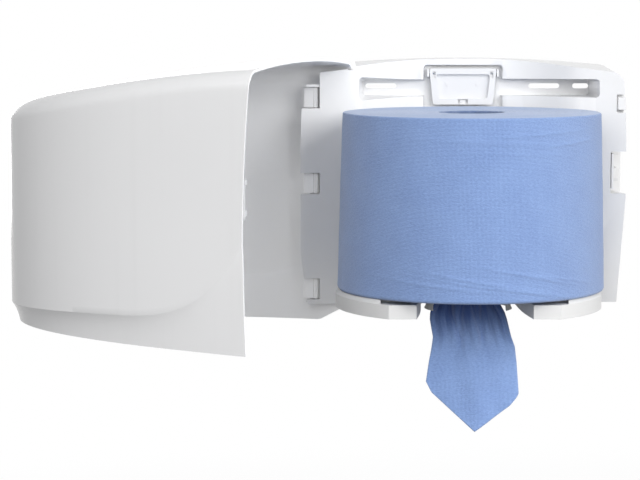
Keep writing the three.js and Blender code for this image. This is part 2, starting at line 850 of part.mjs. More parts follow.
function hingeArm(level) {
  const wallX = -coverInnerX - coverWall / 2;
  const faceX = hingeX + hingeBarrelRadius;
  const back = hingeY + hingeBarrelRadius;
  const front = hingeY - hingeArmLength;
  const shape = new THREE.Shape();
  shape.moveTo(wallX, front);
  shape.lineTo(faceX, front);
  shape.lineTo(faceX, hingeY);
  shape.absarc(hingeX, hingeY, hingeBarrelRadius, 0, Math.PI / 2);
  shape.lineTo(wallX, back);
  return prismZ(shape, level - armHalf, level + armHalf);
}

/** What the shallow hollow takes from the rim, right across the cover. */
function rimCutter() {
  const high = rimHollowLevel + rimHollowHalfHeight;
  const low = rimHollowLevel - rimHollowHalfHeight * rimHollowLowShare;
  const line = spread(low, high, rimHollowSteps).map((z) => [coverRimY - rimHollowAt(z), z]);
  const shape = shapeOf([...line, [coverRimY + overrun, high], [coverRimY + overrun, low]]);
  return prismX(shape, -coverWidth, coverWidth);
}

function coverShell() {
  const shell = thinWall(coverSkin(0), coverSkin(coverWall));
  const pinHoles = hingeLevels.map((level) => (
    cylinderZ(hingeX, hingeY, pinBoreRadius, level - notchHalf, level + notchHalf)
  ));
  const screwHoles = catchScrewLevels.map((level) => cylinderX(
    catchScrewY,
    level,
    catchScrewShankRadius + catchScrewHoleGap,
    coverInnerX - overrun,
    coverInnerX + coverWall * 0.6,
  ));
  return cut(join(cut(shell, rimCutter()), ...hingeLevels.map(hingeArm)), ...pinHoles, ...screwHoles);
}

const catchOuterX = coverInnerX - seatGap;
const catchInnerX = catchOuterX - catchFootThickness - catchThickness;
const catchRimY = coverRimY - rimHollowAt((catchTop + catchBottom) / 2);
const catchScrewY = catchRimY - (catchDepth + catchFootSetback) / 2;

function coverCatch() {
  const back = catchRimY - catchDepth;
  const strip = box(catchInnerX, catchInnerX + catchThickness, back, catchRimY, catchBottom, catchTop);
  const foot = box(catchInnerX + catchThickness / 2, catchOuterX, back, catchRimY - catchFootSetback,
    catchBottom, catchTop);
  const hooks = [catchTop, catchLowerHookTop].map((top) => box(
    coverInnerX - catchHookReach,
    catchInnerX + catchThickness,
    catchRimY + catchHookStandout - catchHookDepth,
    catchRimY + catchHookStandout,
    top - catchHookHeight,
    top,
  ));
  const holes = catchScrewLevels.map((level) => (
    cylinderX(catchScrewY, level, catchScrewShankRadius + catchScrewHoleGap, catchInnerX - overrun, coverInnerX)
  ));
  return cut(join(strip, foot, ...hooks), ...holes);
}

function catchScrew(level) {
  const headX = catchInnerX - seatGap;
  return join(
    cylinderX(catchScrewY, level, catchScrewHeadRadius, headX - catchScrewHeadHeight, headX),
    cylinderX(catchScrewY, level, catchScrewShankRadius, headX - catchScrewHeadHeight / 2,
      coverInnerX + coverWall * 0.3),
  );
}

// Latch slide, which moves down behind the cover's hooks

function latchSlide() {
  const bar = box(slideFaceX, slideFaceX + slideThickness, -slideFrontStandoff, -slideBackStandoff,
    slideBottom, slideTop);
  const noseTops = [slideTop, catchLowerHookTop + runningGap + slideNoseHeight];
  const noses = noseTops.map((top) => box(
    slideFaceX,
    slideFaceX + slideThickness + slideNoseReach,
    -slideBackStandoff - slideNoseDepth,
    -slideBackStandoff,
    top - slideNoseHeight,
    top,
  ));
  const middle = -(slideFrontStandoff + slideBackStandoff) / 2;
  const block = box(slideFaceX, slideFaceX + slideThickness + slideBlockReach, middle - slideBlockDepth / 2,
    middle + slideBlockDepth / 2, slideBlockTop - slideBlockHeight, slideBlockTop);
  return cut(join(bar, ...noses, block), guideSlot());
}

/** The upright slot that lets the slide run on its screw. */
function guideSlot() {
  const radius = guideScrewShankRadius + guideScrewGap;
  const shape = new THREE.Shape();
  shape.absarc(-guideScrewBack, guideScrewLevel + slideTravel, radius, 0, Math.PI);
  shape.absarc(-guideScrewBack, guideScrewLevel, radius, Math.PI, 2 * Math.PI);
  return prismX(shape, nicheInner, slideFaceX + slideThickness + overrun);
}

function guideScrew() {
  const seat = slideFaceX + slideThickness + seatGap;
  return join(
    cylinderX(-guideScrewBack, guideScrewLevel, guideScrewHeadRadius, seat, seat + guideScrewHeadHeight),
    cylinderX(-guideScrewBack, guideScrewLevel, guideScrewShankRadius, nicheInner - guideScrewLength,
      seat + guideScrewHeadHeight / 2),
  );
}

// Guide clip that steadies the cover's edge

function guideClip() {
  const low = clipBottom + seatGap;
  const high = clipTop - seatGap;
  const root = box(clipInner, clipOuter - clipNoseLead, clipBackY - clipRootThickness, clipBackY, low, high);
  const nose = box(clipInner + clipNoseLead, clipOuter, clipFrontY, clipBackY - clipRootThickness / 2,
    low + clipNoseGap, high - clipNoseGap);
  return join(root, nose);
}

// Flap over the middle recess

const flapPivotY = -flapBackStandoff - flapFrameThickness / 2;

function flapHalfWidthAt(z) {
  const share = (z - flapBottom) / (flapTop - flapBottom);
  return flapFootHalfWidth + (flapTopHalfWidth - flapFootHalfWidth) * share;
}

function flapOutline(inset, corner) {
  const low = flapBottom + inset;
  const high = flapTop - inset;
  const corners = [
    [featureShift - flapHalfWidthAt(low) + inset, low],
    [featureShift + flapHalfWidthAt(low) - inset, low],
    [featureShift + flapHalfWidthAt(high) - inset, high],
    [featureShift - flapHalfWidthAt(high) + inset, high],
  ];
  const outline = corners.flatMap((c, i) => (
    bend(corners[(i + 3) % 4], c, corners[(i + 1) % 4], corner, cornerFacets / 2)
  ));
  return shapeOf(outline);
}

function flapPin(side, grow) {
  const outer = featureShift + side * (flapHalfWidthAt(flapPivotLevel) + flapEarGap + flapEarThickness);
  const inner = outer - side * (flapPinLength + grow);
  const end = outer + side * grow;
  return cylinderX(flapPivotY, flapPivotLevel, flapPinRadius + grow, Math.min(inner, end), Math.max(inner, end));
}

function flap() {
  const back = -flapBackStandoff;
  const front = back - flapFrameThickness;
  const panelFace = back - flapPanelThickness;
  const plate = prismY(flapOutline(0, flapInnerCorner), front, back);
  const hollow = prismY(flapOutline(flapFrameWidth, flapInnerCorner), front - overrun, panelFace);
  const tabTop = flapBottom + flapFrameWidth - runningGap;
  const tabNotch = box(featureShift - flapTabWidth / 2, featureShift + flapTabWidth / 2, front - overrun,
    panelFace, tabTop - flapTabHeight, tabTop);
  const tongue = box(featureShift - flapTongueWidth / 2, featureShift + flapTongueWidth / 2,
    front + flapPanelThickness / 2, panelFace + flapPanelThickness / 2, tabTop - flapTabHeight - runningGap,
    tabTop - runningGap);
  const pips = [-1, 1].map((side) => cylinderY(featureShift + side * flapPipOffset, flapPipLevel,
    flapPipRadius, panelFace - flapPipHeight, panelFace + flapPanelThickness / 2));
  const hooks = [-1, 1].map((side) => {
    const inner = featureShift + side * (flapHalfWidthAt(flapPivotLevel) - flapFrameWidth);
    const outer = inner + side * flapHookWidth;
    return box(Math.min(inner, outer), Math.max(inner, outer), front - overrun, front + flapHookDepth,
      flapPivotLevel - flapHookHeight, flapPivotLevel + flapPinRadius);
  });
  return cut(
    join(cut(plate, hollow, tabNotch), tongue, ...pips),
    ...[-1, 1].map((side) => flapPin(side, flapPinGap)),
    ...hooks,
  );
}

// Shelf

/** The open-fronted gate in plan, with its sides moved out by grow. */
function gateShape(grow, frontReach) {
  const radius = gateRadius + grow;
  const flare = gateFrontHalfWidth - gateRadius;
  const side = spread(0, 1, gateFlareSteps).slice(1).map((share) => [
    radius + flare * ((share * frontReach) / shelfFrontReach) ** 2,
    rollY - share * frontReach,
  ]);
  const outline = [...side].reverse();
  spread(0, Math.PI, 4 * cornerFacets).forEach((a) => {
    outline.push([radius * Math.cos(a), rollY + radius * Math.sin(a)]);
  });
  return shapeOf([...outline, ...side.map(([x, y]) => [-x, y])]);
}

function rollShelf() {
  const frontY = rollY - shelfFrontReach;
  const blockFrontY = rollY / 2;
  const disc = revolve([[0, shelfBottom], [shelfRadius, shelfBottom], [shelfRadius, shelfTop - shelfBevelHeight],
    [shelfRadius - shelfBevelWidth, shelfTop], [0, shelfTop]]);
  const backBlock = box(-shelfBlockHalfWidth, shelfBlockHalfWidth, blockFrontY, 0, shelfBottom, shelfTop);
  const panelSolid = (gap) => prismZ(panelPlan(-gap), shelfBottom - 2 * overrun, shelfTop + 2 * shelfEarRise);
  const facing = box(-farReach, farReach, frontY - farReach, frontY, shelfBottom - overrun, shelfTop + overrun);
  const relief = box(-thumbReliefHalfWidth, thumbReliefHalfWidth, frontY - farReach, frontY + thumbReliefDepth,
    shelfTop - thumbReliefDrop, shelfTop + overrun);
  const ears = [-1, 1].map((side) => box(
    Math.min(side * shelfEarInner, side * shelfEarOuter),
    Math.max(side * shelfEarInner, side * shelfEarOuter),
    -shelfEarStandoff,
    0,
    shelfBottom,
    shelfTop + shelfEarRise,
  ));
  const under = shelfTop - shelfTopThickness;
  const hollowDisc = revolve([[0, shelfBottom - overrun], [shelfRadius - shelfWall, shelfBottom - overrun],
    [shelfRadius - shelfWall, under - shelfBevelHeight], [shelfRadius - shelfWall - shelfBevelWidth, under],
    [0, under]]);
  const hollowBlock = box(-shelfBlockHalfWidth + shelfWall, shelfBlockHalfWidth - shelfWall, blockFrontY,
    0, shelfBottom - overrun, under);
  const earCores = [-1, 1].map((side) => box(
    Math.min(side * shelfEarInner, side * shelfEarOuter),
    Math.max(side * shelfEarInner, side * shelfEarOuter),
    -shelfEarStandoff,
    0,
    shelfBottom - overrun,
    under,
  ));
  const hollow = cut(
    join(hollowDisc, hollowBlock),
    panelSolid(seatGap + shelfWall),
    ...earCores,
    box(-farReach, farReach, frontY - farReach, frontY + shelfWall, shelfBottom - 2 * overrun, shelfTop),
    box(-thumbReliefHalfWidth - shelfWall, thumbReliefHalfWidth + shelfWall, frontY - overrun,
      frontY + thumbReliefDepth + shelfWall, under - thumbReliefDrop, shelfTop),
    prismZ(gateShape(shelfWall, shelfFrontReach + overrun), shelfBottom - 2 * overrun, shelfTop + overrun),
  );
  const gate = prismZ(gateShape(0, shelfFrontReach + overrun), shelfBottom - overrun, shelfTop + overrun);
  const ledgeTop = shelfTop - ledgeDrop;
  const ledge = cut(
    prismZ(gateShape(shelfWall / 2, ledgeFrontReach), ledgeTop - ledgeThickness, ledgeTop),
    prismZ(gateShape(-ledgeWidth, ledgeFrontReach + overrun), shelfBottom - overrun, shelfTop + overrun),
  );
  const body = cut(join(cut(join(disc, backBlock, ...ears), facing, relief, hollow, gate), ledge),
    panelSolid(seatGap));
  return cut(body, ...shelfScrewPlaces.map(([x, z]) => (
    cylinderY(x, z, shelfScrewShankRadius + shelfScrewHoleGap, -shelfEarStandoff - overrun, 0)
  )));
}

function shelfScrew([x, z]) {
  const seat = -shelfEarStandoff - seatGap;
  return join(
    cylinderY(x, z, shelfScrewHeadRadius, seat - shelfScrewHeadHeight, seat),
    cylinderY(x, z, shelfScrewShankRadius, seat - shelfScrewHeadHeight / 2, seat + shelfScrewLength),
  );
}

// Feed nozzle

/** The nozzle: a collar open at the front, so that the paper can be laid in from there. */
function feedNozzle() {
  const flangeBottom = shelfTop - ledgeDrop + seatGap;
  const flangeTop = flangeBottom + nozzleFlangeThickness;
  const foot = flangeTop - nozzleDepth;
  const flange = prismZ(gateShape(-runningGap, nozzleFrontReach), flangeBottom, flangeTop);
  const outer = nozzleBoreRadius + nozzleWall;
  const skirt = revolve([[0, foot], [outer + nozzleLip, foot], [outer, foot + nozzleLipHeight], [outer, flangeTop],
    [0, flangeTop]]);
  const bore = revolve([[0, foot - overrun], [nozzleBoreRadius + nozzleLip, foot - overrun],
    [nozzleBoreRadius + nozzleLip, foot], [nozzleBoreRadius, foot + nozzleLipHeight],
    [nozzleBoreRadius, flangeTop + overrun], [0, flangeTop + overrun]]);
  const mouth = box(-nozzleSlotHalfWidth, nozzleSlotHalfWidth, rollY - farReach, rollY, foot - overrun,
    flangeTop + overrun);
  return cut(join(flange, skirt), bore, mouth);
}

// Paper

function paperRoll() {
  const top = rollFoot + rollHeight;
  const profile = [];
  spread(0, Math.PI / 2, cornerFacets / 2).forEach((a) => {
    profile.push([rollFootRadius - rollFootRounding * (1 - Math.sin(a)), rollFoot + rollFootRounding * (1 - Math.cos(a))]);
  });
  spread(0, Math.PI / 2, cornerFacets - 1).forEach((a) => {
    profile.push([rollTopRadius - rollTopRounding * (1 - Math.cos(a)), top - rollTopRounding * (1 - Math.sin(a))]);
  });
  profile.push([rollBoreRadius, top], [rollBoreRadius, rollFoot], profile[0]);
  return revolve(profile);
}

/** The tail's fold: a wave across its width that deepens as it leaves the nozzle. */
function tailPoint(across, down, side) {
  const end = across < tailTipShare
    ? tailLeftCorner + (tailTip - tailLeftCorner) * (across / tailTipShare)
    : tailTip + (tailRightCorner - tailTip) * ((across - tailTipShare) / (1 - tailTipShare));
  const z = tailTop + (end - tailTop) * down;
  const left = alongLevels(tailLevels, tailLeftEdges, z);
  const right = alongLevels(tailLevels, tailRightEdges, z);
  const x = left + (right - left) * across;
  const wave = Math.sin(2 * Math.PI * (tailFolds * across + tailFoldStart));
  const free = smooth((tailClimbTop - z) / (tailClimbTop - tailClimbFoot));
  const core = rollBoreRadius - seatGap - tailThickness / 2;
  const against = Math.sqrt(Math.max(0, core ** 2 - x ** 2));
  const y = rollY + against * (1 - free) + tailFoldDepth * wave * free + (side * tailThickness) / 2;
  return new THREE.Vector3(x, y, z);
}

function paperTail() {
  const skin = (side) => spread(0, 1, tailRows).map((down) => (
    spread(0, 1, tailColumns).map((across) => tailPoint(across, down, side))
  ));
  return thinWall(skin(-1), skin(1));
}

// Finishes

const plateWhite = new THREE.MeshStandardMaterial({ color: '#eeeff1', roughness: 0.42, metalness: 0 });
const coverWhite = new THREE.MeshStandardMaterial({ color: '#e2e3e6', roughness: 0.34, metalness: 0 });
const trimWhite = new THREE.MeshStandardMaterial({ color: '#f6f6f7', roughness: 0.4, metalness: 0 });
const shelfGrey = new THREE.MeshStandardMaterial({ color: '#dcdddc', roughness: 0.5, metalness: 0 });
const steel = new THREE.MeshStandardMaterial({ color: '#c9ccce', roughness: 0.3, metalness: 1 });
const bluePaper = new THREE.MeshStandardMaterial({ color: '#86a4dc', roughness: 0.95, metalness: 0 });

function piece(name, solid, material) {
  const mesh = new THREE.Mesh(toGeometry(solid), material);
  mesh.name = name;
  return mesh;
}

// Assembly

const dispenser = new THREE.Group();
const hingeNames = ['upper', 'middle', 'lower'];

dispenser.add(piece('back_plate', backPlate(), plateWhite));
hingeLevels.forEach((level, i) => {
  dispenser.add(piece(`hinge_pin_${hingeNames[i]}`, hingePin(level), trimWhite));
});
dispenser.add(piece('guide_clip', guideClip(), trimWhite));
dispenser.add(piece('latch_slide', latchSlide(), trimWhite));
dispenser.add(piece('latch_screw', guideScrew(), steel));
dispenser.add(piece('centre_flap', flap(), trimWhite));
dispenser.add(piece('flap_pin_left', flapPin(-1, 0), steel));
dispenser.add(piece('flap_pin_right', flapPin(1, 0), steel));
dispenser.add(piece('roll_shelf', rollShelf(), shelfGrey));
shelfScrewPlaces.forEach((place, i) => {
  dispenser.add(piece(`shelf_screw_${i + 1}`, shelfScrew(place), steel));
});
dispenser.add(piece('feed_nozzle', feedNozzle(), shelfGrey));
dispenser.add(piece('paper_roll', paperRoll(), bluePaper));
dispenser.add(piece('paper_tail', paperTail(), bluePaper));

const cover = new THREE.Group();
cover.position.set(hingeX, hingeY, 0);
cover.rotation.z = -THREE.MathUtils.degToRad(openAngleDegrees);
const coverPieces = [
  piece('cover_shell', coverShell(), coverWhite),
  piece('cover_catch', coverCatch(), trimWhite),
  ...catchScrewLevels.map((level, i) => piece(`catch_screw_${i + 1}`, catchScrew(level), steel)),
];
coverPieces.forEach((mesh) => {
  mesh.position.set(-hingeX, -hingeY, 0);
  cover.add(mesh);
});
dispenser.add(cover);

export default dispenser;
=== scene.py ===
"""Dresses the centrefeed roll dispenser: its open cover, mouldings, paper roll and hanging tail.

They hang before a pale ground and are lit from the front, from both sides, from above and from behind.
"""

import math

import bmesh
import bpy
import numpy as np
from bpy.props import FloatProperty, FloatVectorProperty, IntProperty, PointerProperty
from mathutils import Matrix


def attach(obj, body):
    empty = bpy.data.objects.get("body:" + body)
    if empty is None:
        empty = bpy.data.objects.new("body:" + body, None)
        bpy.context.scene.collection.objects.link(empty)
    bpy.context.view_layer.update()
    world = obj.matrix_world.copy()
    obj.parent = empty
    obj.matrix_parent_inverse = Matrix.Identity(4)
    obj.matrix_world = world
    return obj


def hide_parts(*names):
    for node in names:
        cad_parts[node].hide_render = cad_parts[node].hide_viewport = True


bl_info = {
    "name": "Centrefeed Roll Dispenser",
    "version": (1, 0, 0),
    "blender": (4, 5, 0),
    "location": "View3D > Sidebar > Dispenser",
    "description": "Makes the cover, mouldings, paper and stage of a centrefeed roll dispenser",
    "category": "Object",
}

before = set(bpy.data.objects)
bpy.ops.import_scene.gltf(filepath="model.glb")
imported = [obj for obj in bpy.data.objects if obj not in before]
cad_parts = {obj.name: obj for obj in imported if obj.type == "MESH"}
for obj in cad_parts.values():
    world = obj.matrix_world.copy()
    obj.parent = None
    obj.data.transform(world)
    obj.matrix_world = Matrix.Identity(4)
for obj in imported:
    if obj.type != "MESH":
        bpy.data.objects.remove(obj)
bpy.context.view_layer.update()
MM = 0.001

# The cover's hinge line and how far it stands open, and the foot of the roll's axis
HINGE = np.array([-161.0, -46.0, 0.0]) * MM
OPEN_ANGLE = math.radians(106.6)
ROLL_Y = -154 * MM
ROLL_FOOT = -207 * MM


# Settings


def length(name, description, default):
    """A size in metres that a user may change."""
    return FloatProperty(name=name, description=description, default=default, unit="LENGTH",
                         subtype="DISTANCE")


def watts(name, place, default):
    """The strength of the lamp at a place."""
    return FloatProperty(name=name, description=f"Strength of the lamp {place} in watts", default=default)


def colour(name, description, default):
    """A linear colour."""
    return FloatVectorProperty(name=name, description=description, default=default, size=3, min=0, max=1,
                               subtype="COLOR")


class DispenserCoverSettings(bpy.types.PropertyGroup):
    """Sizes and finish of the cover."""

    width: length("Width", "Outside width across the shut cover", 363.8 * MM)
    depth: length("Depth", "Depth from the rim to the front", 290.5 * MM)
    wall: length("Wall", "Thickness of the moulded wall", 2.5 * MM)
    edge_radius: length("Top Edge", "Radius of the edge between top and walls", 16.8 * MM)
    tuck: length("Tuck", "How far the lower band draws in at the front", 6 * MM)
    lip: length("Lip", "Rounding of the rim and of the lower edge", 0.6 * MM)
    columns: IntProperty(name="Columns", description="Steps round the plan", default=240, min=24)
    # Painted light: the outside and the inside are one white plastic, and the inside's colour is painted much
    # lighter than the outside's to stand for the light that falls into the open cover
    tint: colour("Colour", "Colour of the polished outside", (0.61, 0.61, 0.615))
    inside: colour("Inside", "Colour of the satin inside", (0.95, 0.95, 0.953))


class DispenserMouldingSettings(bpy.types.PropertyGroup):
    """Finish of the rigid mouldings and fixings."""

    edge: length("Edge", "Rounding of the moulded edges", 0.45 * MM)
    plate: colour("Plate", "Colour of the back plate", (0.75, 0.75, 0.752))
    trim: colour("Trim", "Colour of the flap, clips and pins", (0.69, 0.69, 0.695))
    shelf: colour("Shelf", "Colour of the shelf and nozzle", (0.64, 0.64, 0.638))
    steel: colour("Steel", "Colour of the screws and pivots", (0.6, 0.61, 0.62))


class DispenserPaperSettings(bpy.types.PropertyGroup):
    """Sizes and finish of the roll and its tail."""

    height: length("Height", "Height of the roll, which is the width of its sheet", 185 * MM)
    top_radius: length("Top Radius", "Radius of the roll at its top", 134.8 * MM)
    foot_radius: length("Foot Radius", "Radius of the roll at its foot", 140.1 * MM)
    bore_radius: length("Bore Radius", "Radius of the hole that the paper is drawn from", 33 * MM)
    lean: length("Lean", "How far the wound turns have slipped sideways at the top", 2.4 * MM)
    sheet: length("Sheet", "Thickness of the two-ply sheet", 0.5 * MM)
    emboss: length("Emboss", "Pitch of the embossed pips", 2.6 * MM)
    tint: colour("Colour", "Colour of the paper", (0.23, 0.345, 0.6))
    # Painted shade: the darker colour of the paper's pips, creases and gaps between the plies, and of its
    # cloudy tone
    shade_and_cloud: colour("Shade And Cloud", "Colour in the paper's creases", (0.1, 0.165, 0.37))
    # Painted shadow: the dark colour of the tail's top, for the shade under the roll and shelf in the nozzle
    deep: colour("Nozzle Shadow", "Colour of the gathered paper in the nozzle", (0.04, 0.085, 0.26))


class DispenserStageSettings(bpy.types.PropertyGroup):
    """Camera, floor and light."""

    lens: FloatProperty(name="Lens", description="Focal length in millimetres", default=126.8)
    pitch: FloatProperty(name="Pitch", description="How far the camera looks down", subtype="ANGLE",
                         default=math.radians(5.92))
    floor: length("Floor", "Height of the floor", -640 * MM)
    key: watts("Key", "at the right", 34)
    fill: watts("Fill", "in front at the right", 40)
    side: watts("Side", "in front at the left", 26)
    back: watts("Back", "behind", 24)
    top: watts("Top", "overhead", 14)
    ambient: FloatProperty(name="Ambient", description="Strength of the light all round", default=0.52)


# Materials: sockets as values in Python sums


class Socket:
    """One output of a node; sums and products of sockets add Math nodes."""

    def __init__(self, nodes, output):
        self.nodes = nodes
        self.output = output

    def maths(self, operation, first, second=0.0):
        return self.nodes.maths(operation, first, second)

    def __add__(self, other):
        return self.maths("ADD", self, other)

    def __radd__(self, other):
        return self.maths("ADD", other, self)

    def __sub__(self, other):
        return self.maths("SUBTRACT", self, other)

    def __rsub__(self, other):
        return self.maths("SUBTRACT", other, self)

    def __mul__(self, other):
        return self.maths("MULTIPLY", self, other)

    def __rmul__(self, other):
        return self.maths("MULTIPLY", other, self)

    def __pow__(self, other):
        return self.maths("POWER", self, other)

    def sine(self):
        return self.maths("SINE", self)

    def between(self, low, high):
        """0 below low and 1 above high, smoothly."""
        return self.nodes.node("ShaderNodeMapRange", {0: self, 1: low, 2: high},
                               interpolation_type="SMOOTHSTEP", clamp=True)


class Nodes:
    """A node tree in the making."""

    def __init__(self, tree):
        self.tree = tree

    def node(self, kind, inputs=None, output=0, **settings):
        """Any node: its settings first, then its inputs as values or sockets."""
        made = self.tree.nodes.new(kind)
        for key, value in settings.items():
            setattr(made, key, value)
        for key, value in (inputs or {}).items():
            self.plug(made.inputs[key], value)
        return Socket(self, made.outputs[output])

    def plug(self, target, value):
        """Links a socket to an input, or sets the input's own value."""
        if isinstance(value, Socket):
            self.tree.links.new(value.output, target)
        elif target.type == "RGBA" and len(value) == 3:
            target.default_value = (*value, 1)
        else:
            target.default_value = value

    def maths(self, operation, first, second):
        return self.node("ShaderNodeMath", {0: first, 1: second}, operation=operation)

    def mix(self, factor, first, second):
        """A colour between two colours; 6, 7 and output 2 are the Mix node's sockets for colours."""
        return self.node("ShaderNodeMix", {"Factor": factor, 6: first, 7: second}, output=2, data_type="RGBA")

    def shown(self):
        """1 for what the camera sees, straight or in gloss or through clear parts, and 0 for other light."""
        shown = self.node("ShaderNodeLightPath", output="Is Camera Ray")
        for other in ("Is Glossy Ray", "Is Transmission Ray"):
            shown = self.maths("MAXIMUM", shown, self.node("ShaderNodeLightPath", output=other))
        return shown


class Finish(Nodes):
    """A material in the making, on a Principled shader."""

    def __init__(self, name, **settings):
        self.material = bpy.data.materials.new(name)
        self.material.use_nodes = True
        super().__init__(self.material.node_tree)
        self.shader = self.tree.nodes["Principled BSDF"]
        for socket, value in settings.items():
            self.feed(socket.replace("_", " "), value)

    def feed(self, socket, value):
        """Gives one of the shader's inputs a value or a socket."""
        self.plug(self.shader.inputs[socket], value)

    def place(self, scale=(1, 1, 1), turn=(0, 0, 0), uv=False):
        """Object coordinates, or the piece's own UV map, scaled and turned."""
        where = self.node("ShaderNodeTexCoord", output="UV" if uv else "Object")
        return self.node("ShaderNodeMapping", {"Vector": where, "Scale": scale, "Rotation": turn})

    def noise(self, where, scale=1.0, detail=2.0, roughness=0.5):
        return self.node("ShaderNodeTexNoise", {"Vector": where, "Scale": scale, "Detail": detail,
                                                "Roughness": roughness})

    def axes(self, where):
        """The three coordinates of a place."""
        split = self.node("ShaderNodeSeparateXYZ", {0: where})
        return [Socket(self, out) for out in split.output.node.outputs]

    def bump(self, height, depth):
        """Relief whose full height is a depth in metres."""
        relief = self.node("ShaderNodeBump", {"Height": height, "Distance": depth, "Strength": 1.0})
        self.feed("Normal", relief)


def darker(tint, by):
    """A colour times a share."""
    return tuple(c * by for c in tint)


def swing(pattern, span):
    """A pattern from 0 to 1 as a swing of a span about nought."""
    return (pattern - 0.5) * span


def blend(weights, **patterns):
    """Patterns by name, each times its weight, added up."""
    return sum(patterns[name] * weight for name, weight in weights.items())


def plastic(name, tint, roughness):
    """Moulded plastic: a faint cloudiness in colour and gloss, and a fine moulded grain."""
    made = Finish(name, IOR=1.47, Specular_IOR_Level=0.3)
    where = made.place()
    cloud = made.noise(where, scale=7.0, detail=3.0)
    fine = made.noise(where, scale=1500.0)
    made.feed("Base Color", made.mix(cloud.between(0.3, 0.8), tint, darker(tint, by=0.93)))
    made.feed("Roughness", swing(cloud, span=0.12) + swing(fine, span=0.1) + roughness)
    made.bump(fine, depth=0.04 * MM)
    return made.material


def cover_plastic(settings):
    """The cover's plastic: polished outside with faint darker upright streaks, a painted reflection, and a
    satin inside.

    The first UV coordinate is 0 on the outside, and 1 on the inside and the rim.
    """
    polished, satin = 0.22, 0.2
    grain_outside, grain_inside, ripple = 0.2, 0.8, 0.25
    made = Finish("cover_plastic", IOR=1.48, Specular_IOR_Level=0.45)
    side = made.axes(made.place(uv=True))[0].between(0.49, 0.51)
    where = made.place()
    cloud = made.noise(where, scale=5.0, detail=3.0)
    fine = made.noise(where, scale=1700.0)
    streak_noise = made.noise(made.place(scale=(90, 90, 2.0)))
    outside = made.mix(cloud.between(0.3, 0.8), settings.tint, darker(settings.tint, by=0.965))
    # Painted reflection: faint darker upright streaks in the outside's colour stand for the streaky
    # reflections on the polished outside; the same noise gives a faint ripple in the relief
    outside = made.mix(streak_noise.between(0.5, 0.85) * 0.5, outside, darker(settings.tint, by=0.95))
    # Painted light: the inside and the rim take the inside's much lighter colour
    made.feed("Base Color", made.mix(side, outside, tuple(settings.inside)))
    made.feed("Roughness", side * satin + swing(cloud, span=0.08) + swing(fine, span=0.06) + polished)
    made.bump(fine * (side * grain_inside + grain_outside) + streak_noise * ripple, depth=0.05 * MM)
    return made.material


def plated_steel(settings):
    """Steel with fine lines across its length."""
    made = Finish("plated_steel", Metallic=1.0)
    grain = made.noise(made.place(scale=(900, 60, 900)))
    tint = tuple(settings.steel)
    made.feed("Base Color", made.mix(grain, tint, darker(tint, by=0.8)))
    made.feed("Roughness", grain * 0.2 + 0.22)
    made.bump(grain, depth=0.03 * MM)
    return made.material


# Weights of the paper's patterns in its relief and in its painted shade and cloudy tone, darker in the pips,
# creases and gaps between the plies, on its faces and on the roll's ends
FACE_RELIEF = {"pips": 0.45, "crepe": 0.9, "fibre": 0.35}
FACE_SHADE_AND_CLOUD = {"pips": 0.4, "crepe": 0.55, "cloud": 0.2}
END_RELIEF = {"ply": 0.6, "fibre": 0.5, "crepe": 0.3}
END_SHADE_AND_CLOUD = {"ply": 0.35, "cloud": 0.4}
FACE_DEPTH, END_DEPTH = 0.6 * MM, 0.2 * MM
PLY_PITCH = 1.1 * MM
PLY_WANDER = 14.0
STREAK_SPAN = 0.05


def creped_paper(settings, name, ends=False, bright=1.0, gathered=None):
    """Soft two-ply paper: embossed pips in a diamond pitch, creping, cloudy tone, and painted shade in its
    pips, creases and gaps between the plies.

    The UV map is in metres: along the sheet and across it. On the roll's ends it is radius and angle.
    gathered is a span of the second coordinate over which the gathered top of the sheet fades out of its
    painted shadow, a dark colour for the shade under the roll and shelf.
    """
    made = Finish(name, Roughness=0.95, IOR=1.3, Sheen_Weight=0.36, Sheen_Roughness=0.6)
    where = made.place(uv=True)
    along, across, _ = made.axes(where)
    cloud = made.noise(where, scale=26.0, detail=4.0, roughness=0.6)
    crepe = made.noise(made.place(scale=(330, 760, 1), turn=(0, 0, 0.35), uv=True), detail=3.0, roughness=0.6)
    fibre = made.noise(where, scale=1500.0, detail=3.0, roughness=0.7)
    # Painted shade: the colour darkens in the pips and creases on the faces and between the plies on the
    # ends, and partly with the cloudy tone
    if ends:
        ply = (along * (2 * math.pi / PLY_PITCH) + cloud * PLY_WANDER).sine() * 0.5 + 0.5
        height = blend(END_RELIEF, ply=ply, fibre=fibre, crepe=crepe)
        shade_and_cloud_mask = blend(END_SHADE_AND_CLOUD, ply=1 - ply, cloud=1 - cloud)
    else:
        pitch = 2 * math.pi / settings.emboss
        pips = ((along + across) * pitch).sine() * ((along - across) * pitch).sine() * 0.5 + 0.5
        height = blend(FACE_RELIEF, pips=pips, crepe=crepe, fibre=fibre)
        shade_and_cloud_mask = blend(FACE_SHADE_AND_CLOUD, pips=1 - pips, crepe=1 - crepe, cloud=1 - cloud)
    # Painted light and shade: bright scales the whole colour, making lighter and darker copies of one paper
    dye_and_shade = made.mix(shade_and_cloud_mask.between(0.3, 0.95), darker(settings.tint, bright), darker(settings.shade_and_cloud, bright))
    # Painted shadow: the tail's top darkens to a dark colour for the shade under the roll and shelf, with a
    # streaky edge
    if gathered:
        streak = made.noise(made.place(scale=(150, 22, 1), turn=(0, 0, -0.25), uv=True))
        depth = (across + swing(streak, STREAK_SPAN)).between(*gathered)
        dye_and_shade = made.mix(depth, tuple(settings.deep), dye_and_shade)
    made.feed("Base Color", dye_and_shade)
    made.bump(height, depth=END_DEPTH if ends else FACE_DEPTH)
    return made.material


# Meshes

# Points that are nearer than this are one, and edges that are shorter than this go; angles are in degrees
MERGE_DISTANCE = 0.002 * MM
SHORTEST_EDGE = 0.0001 * MM
SHARP_ANGLE = 34
FLAT_ANGLE = 0.4


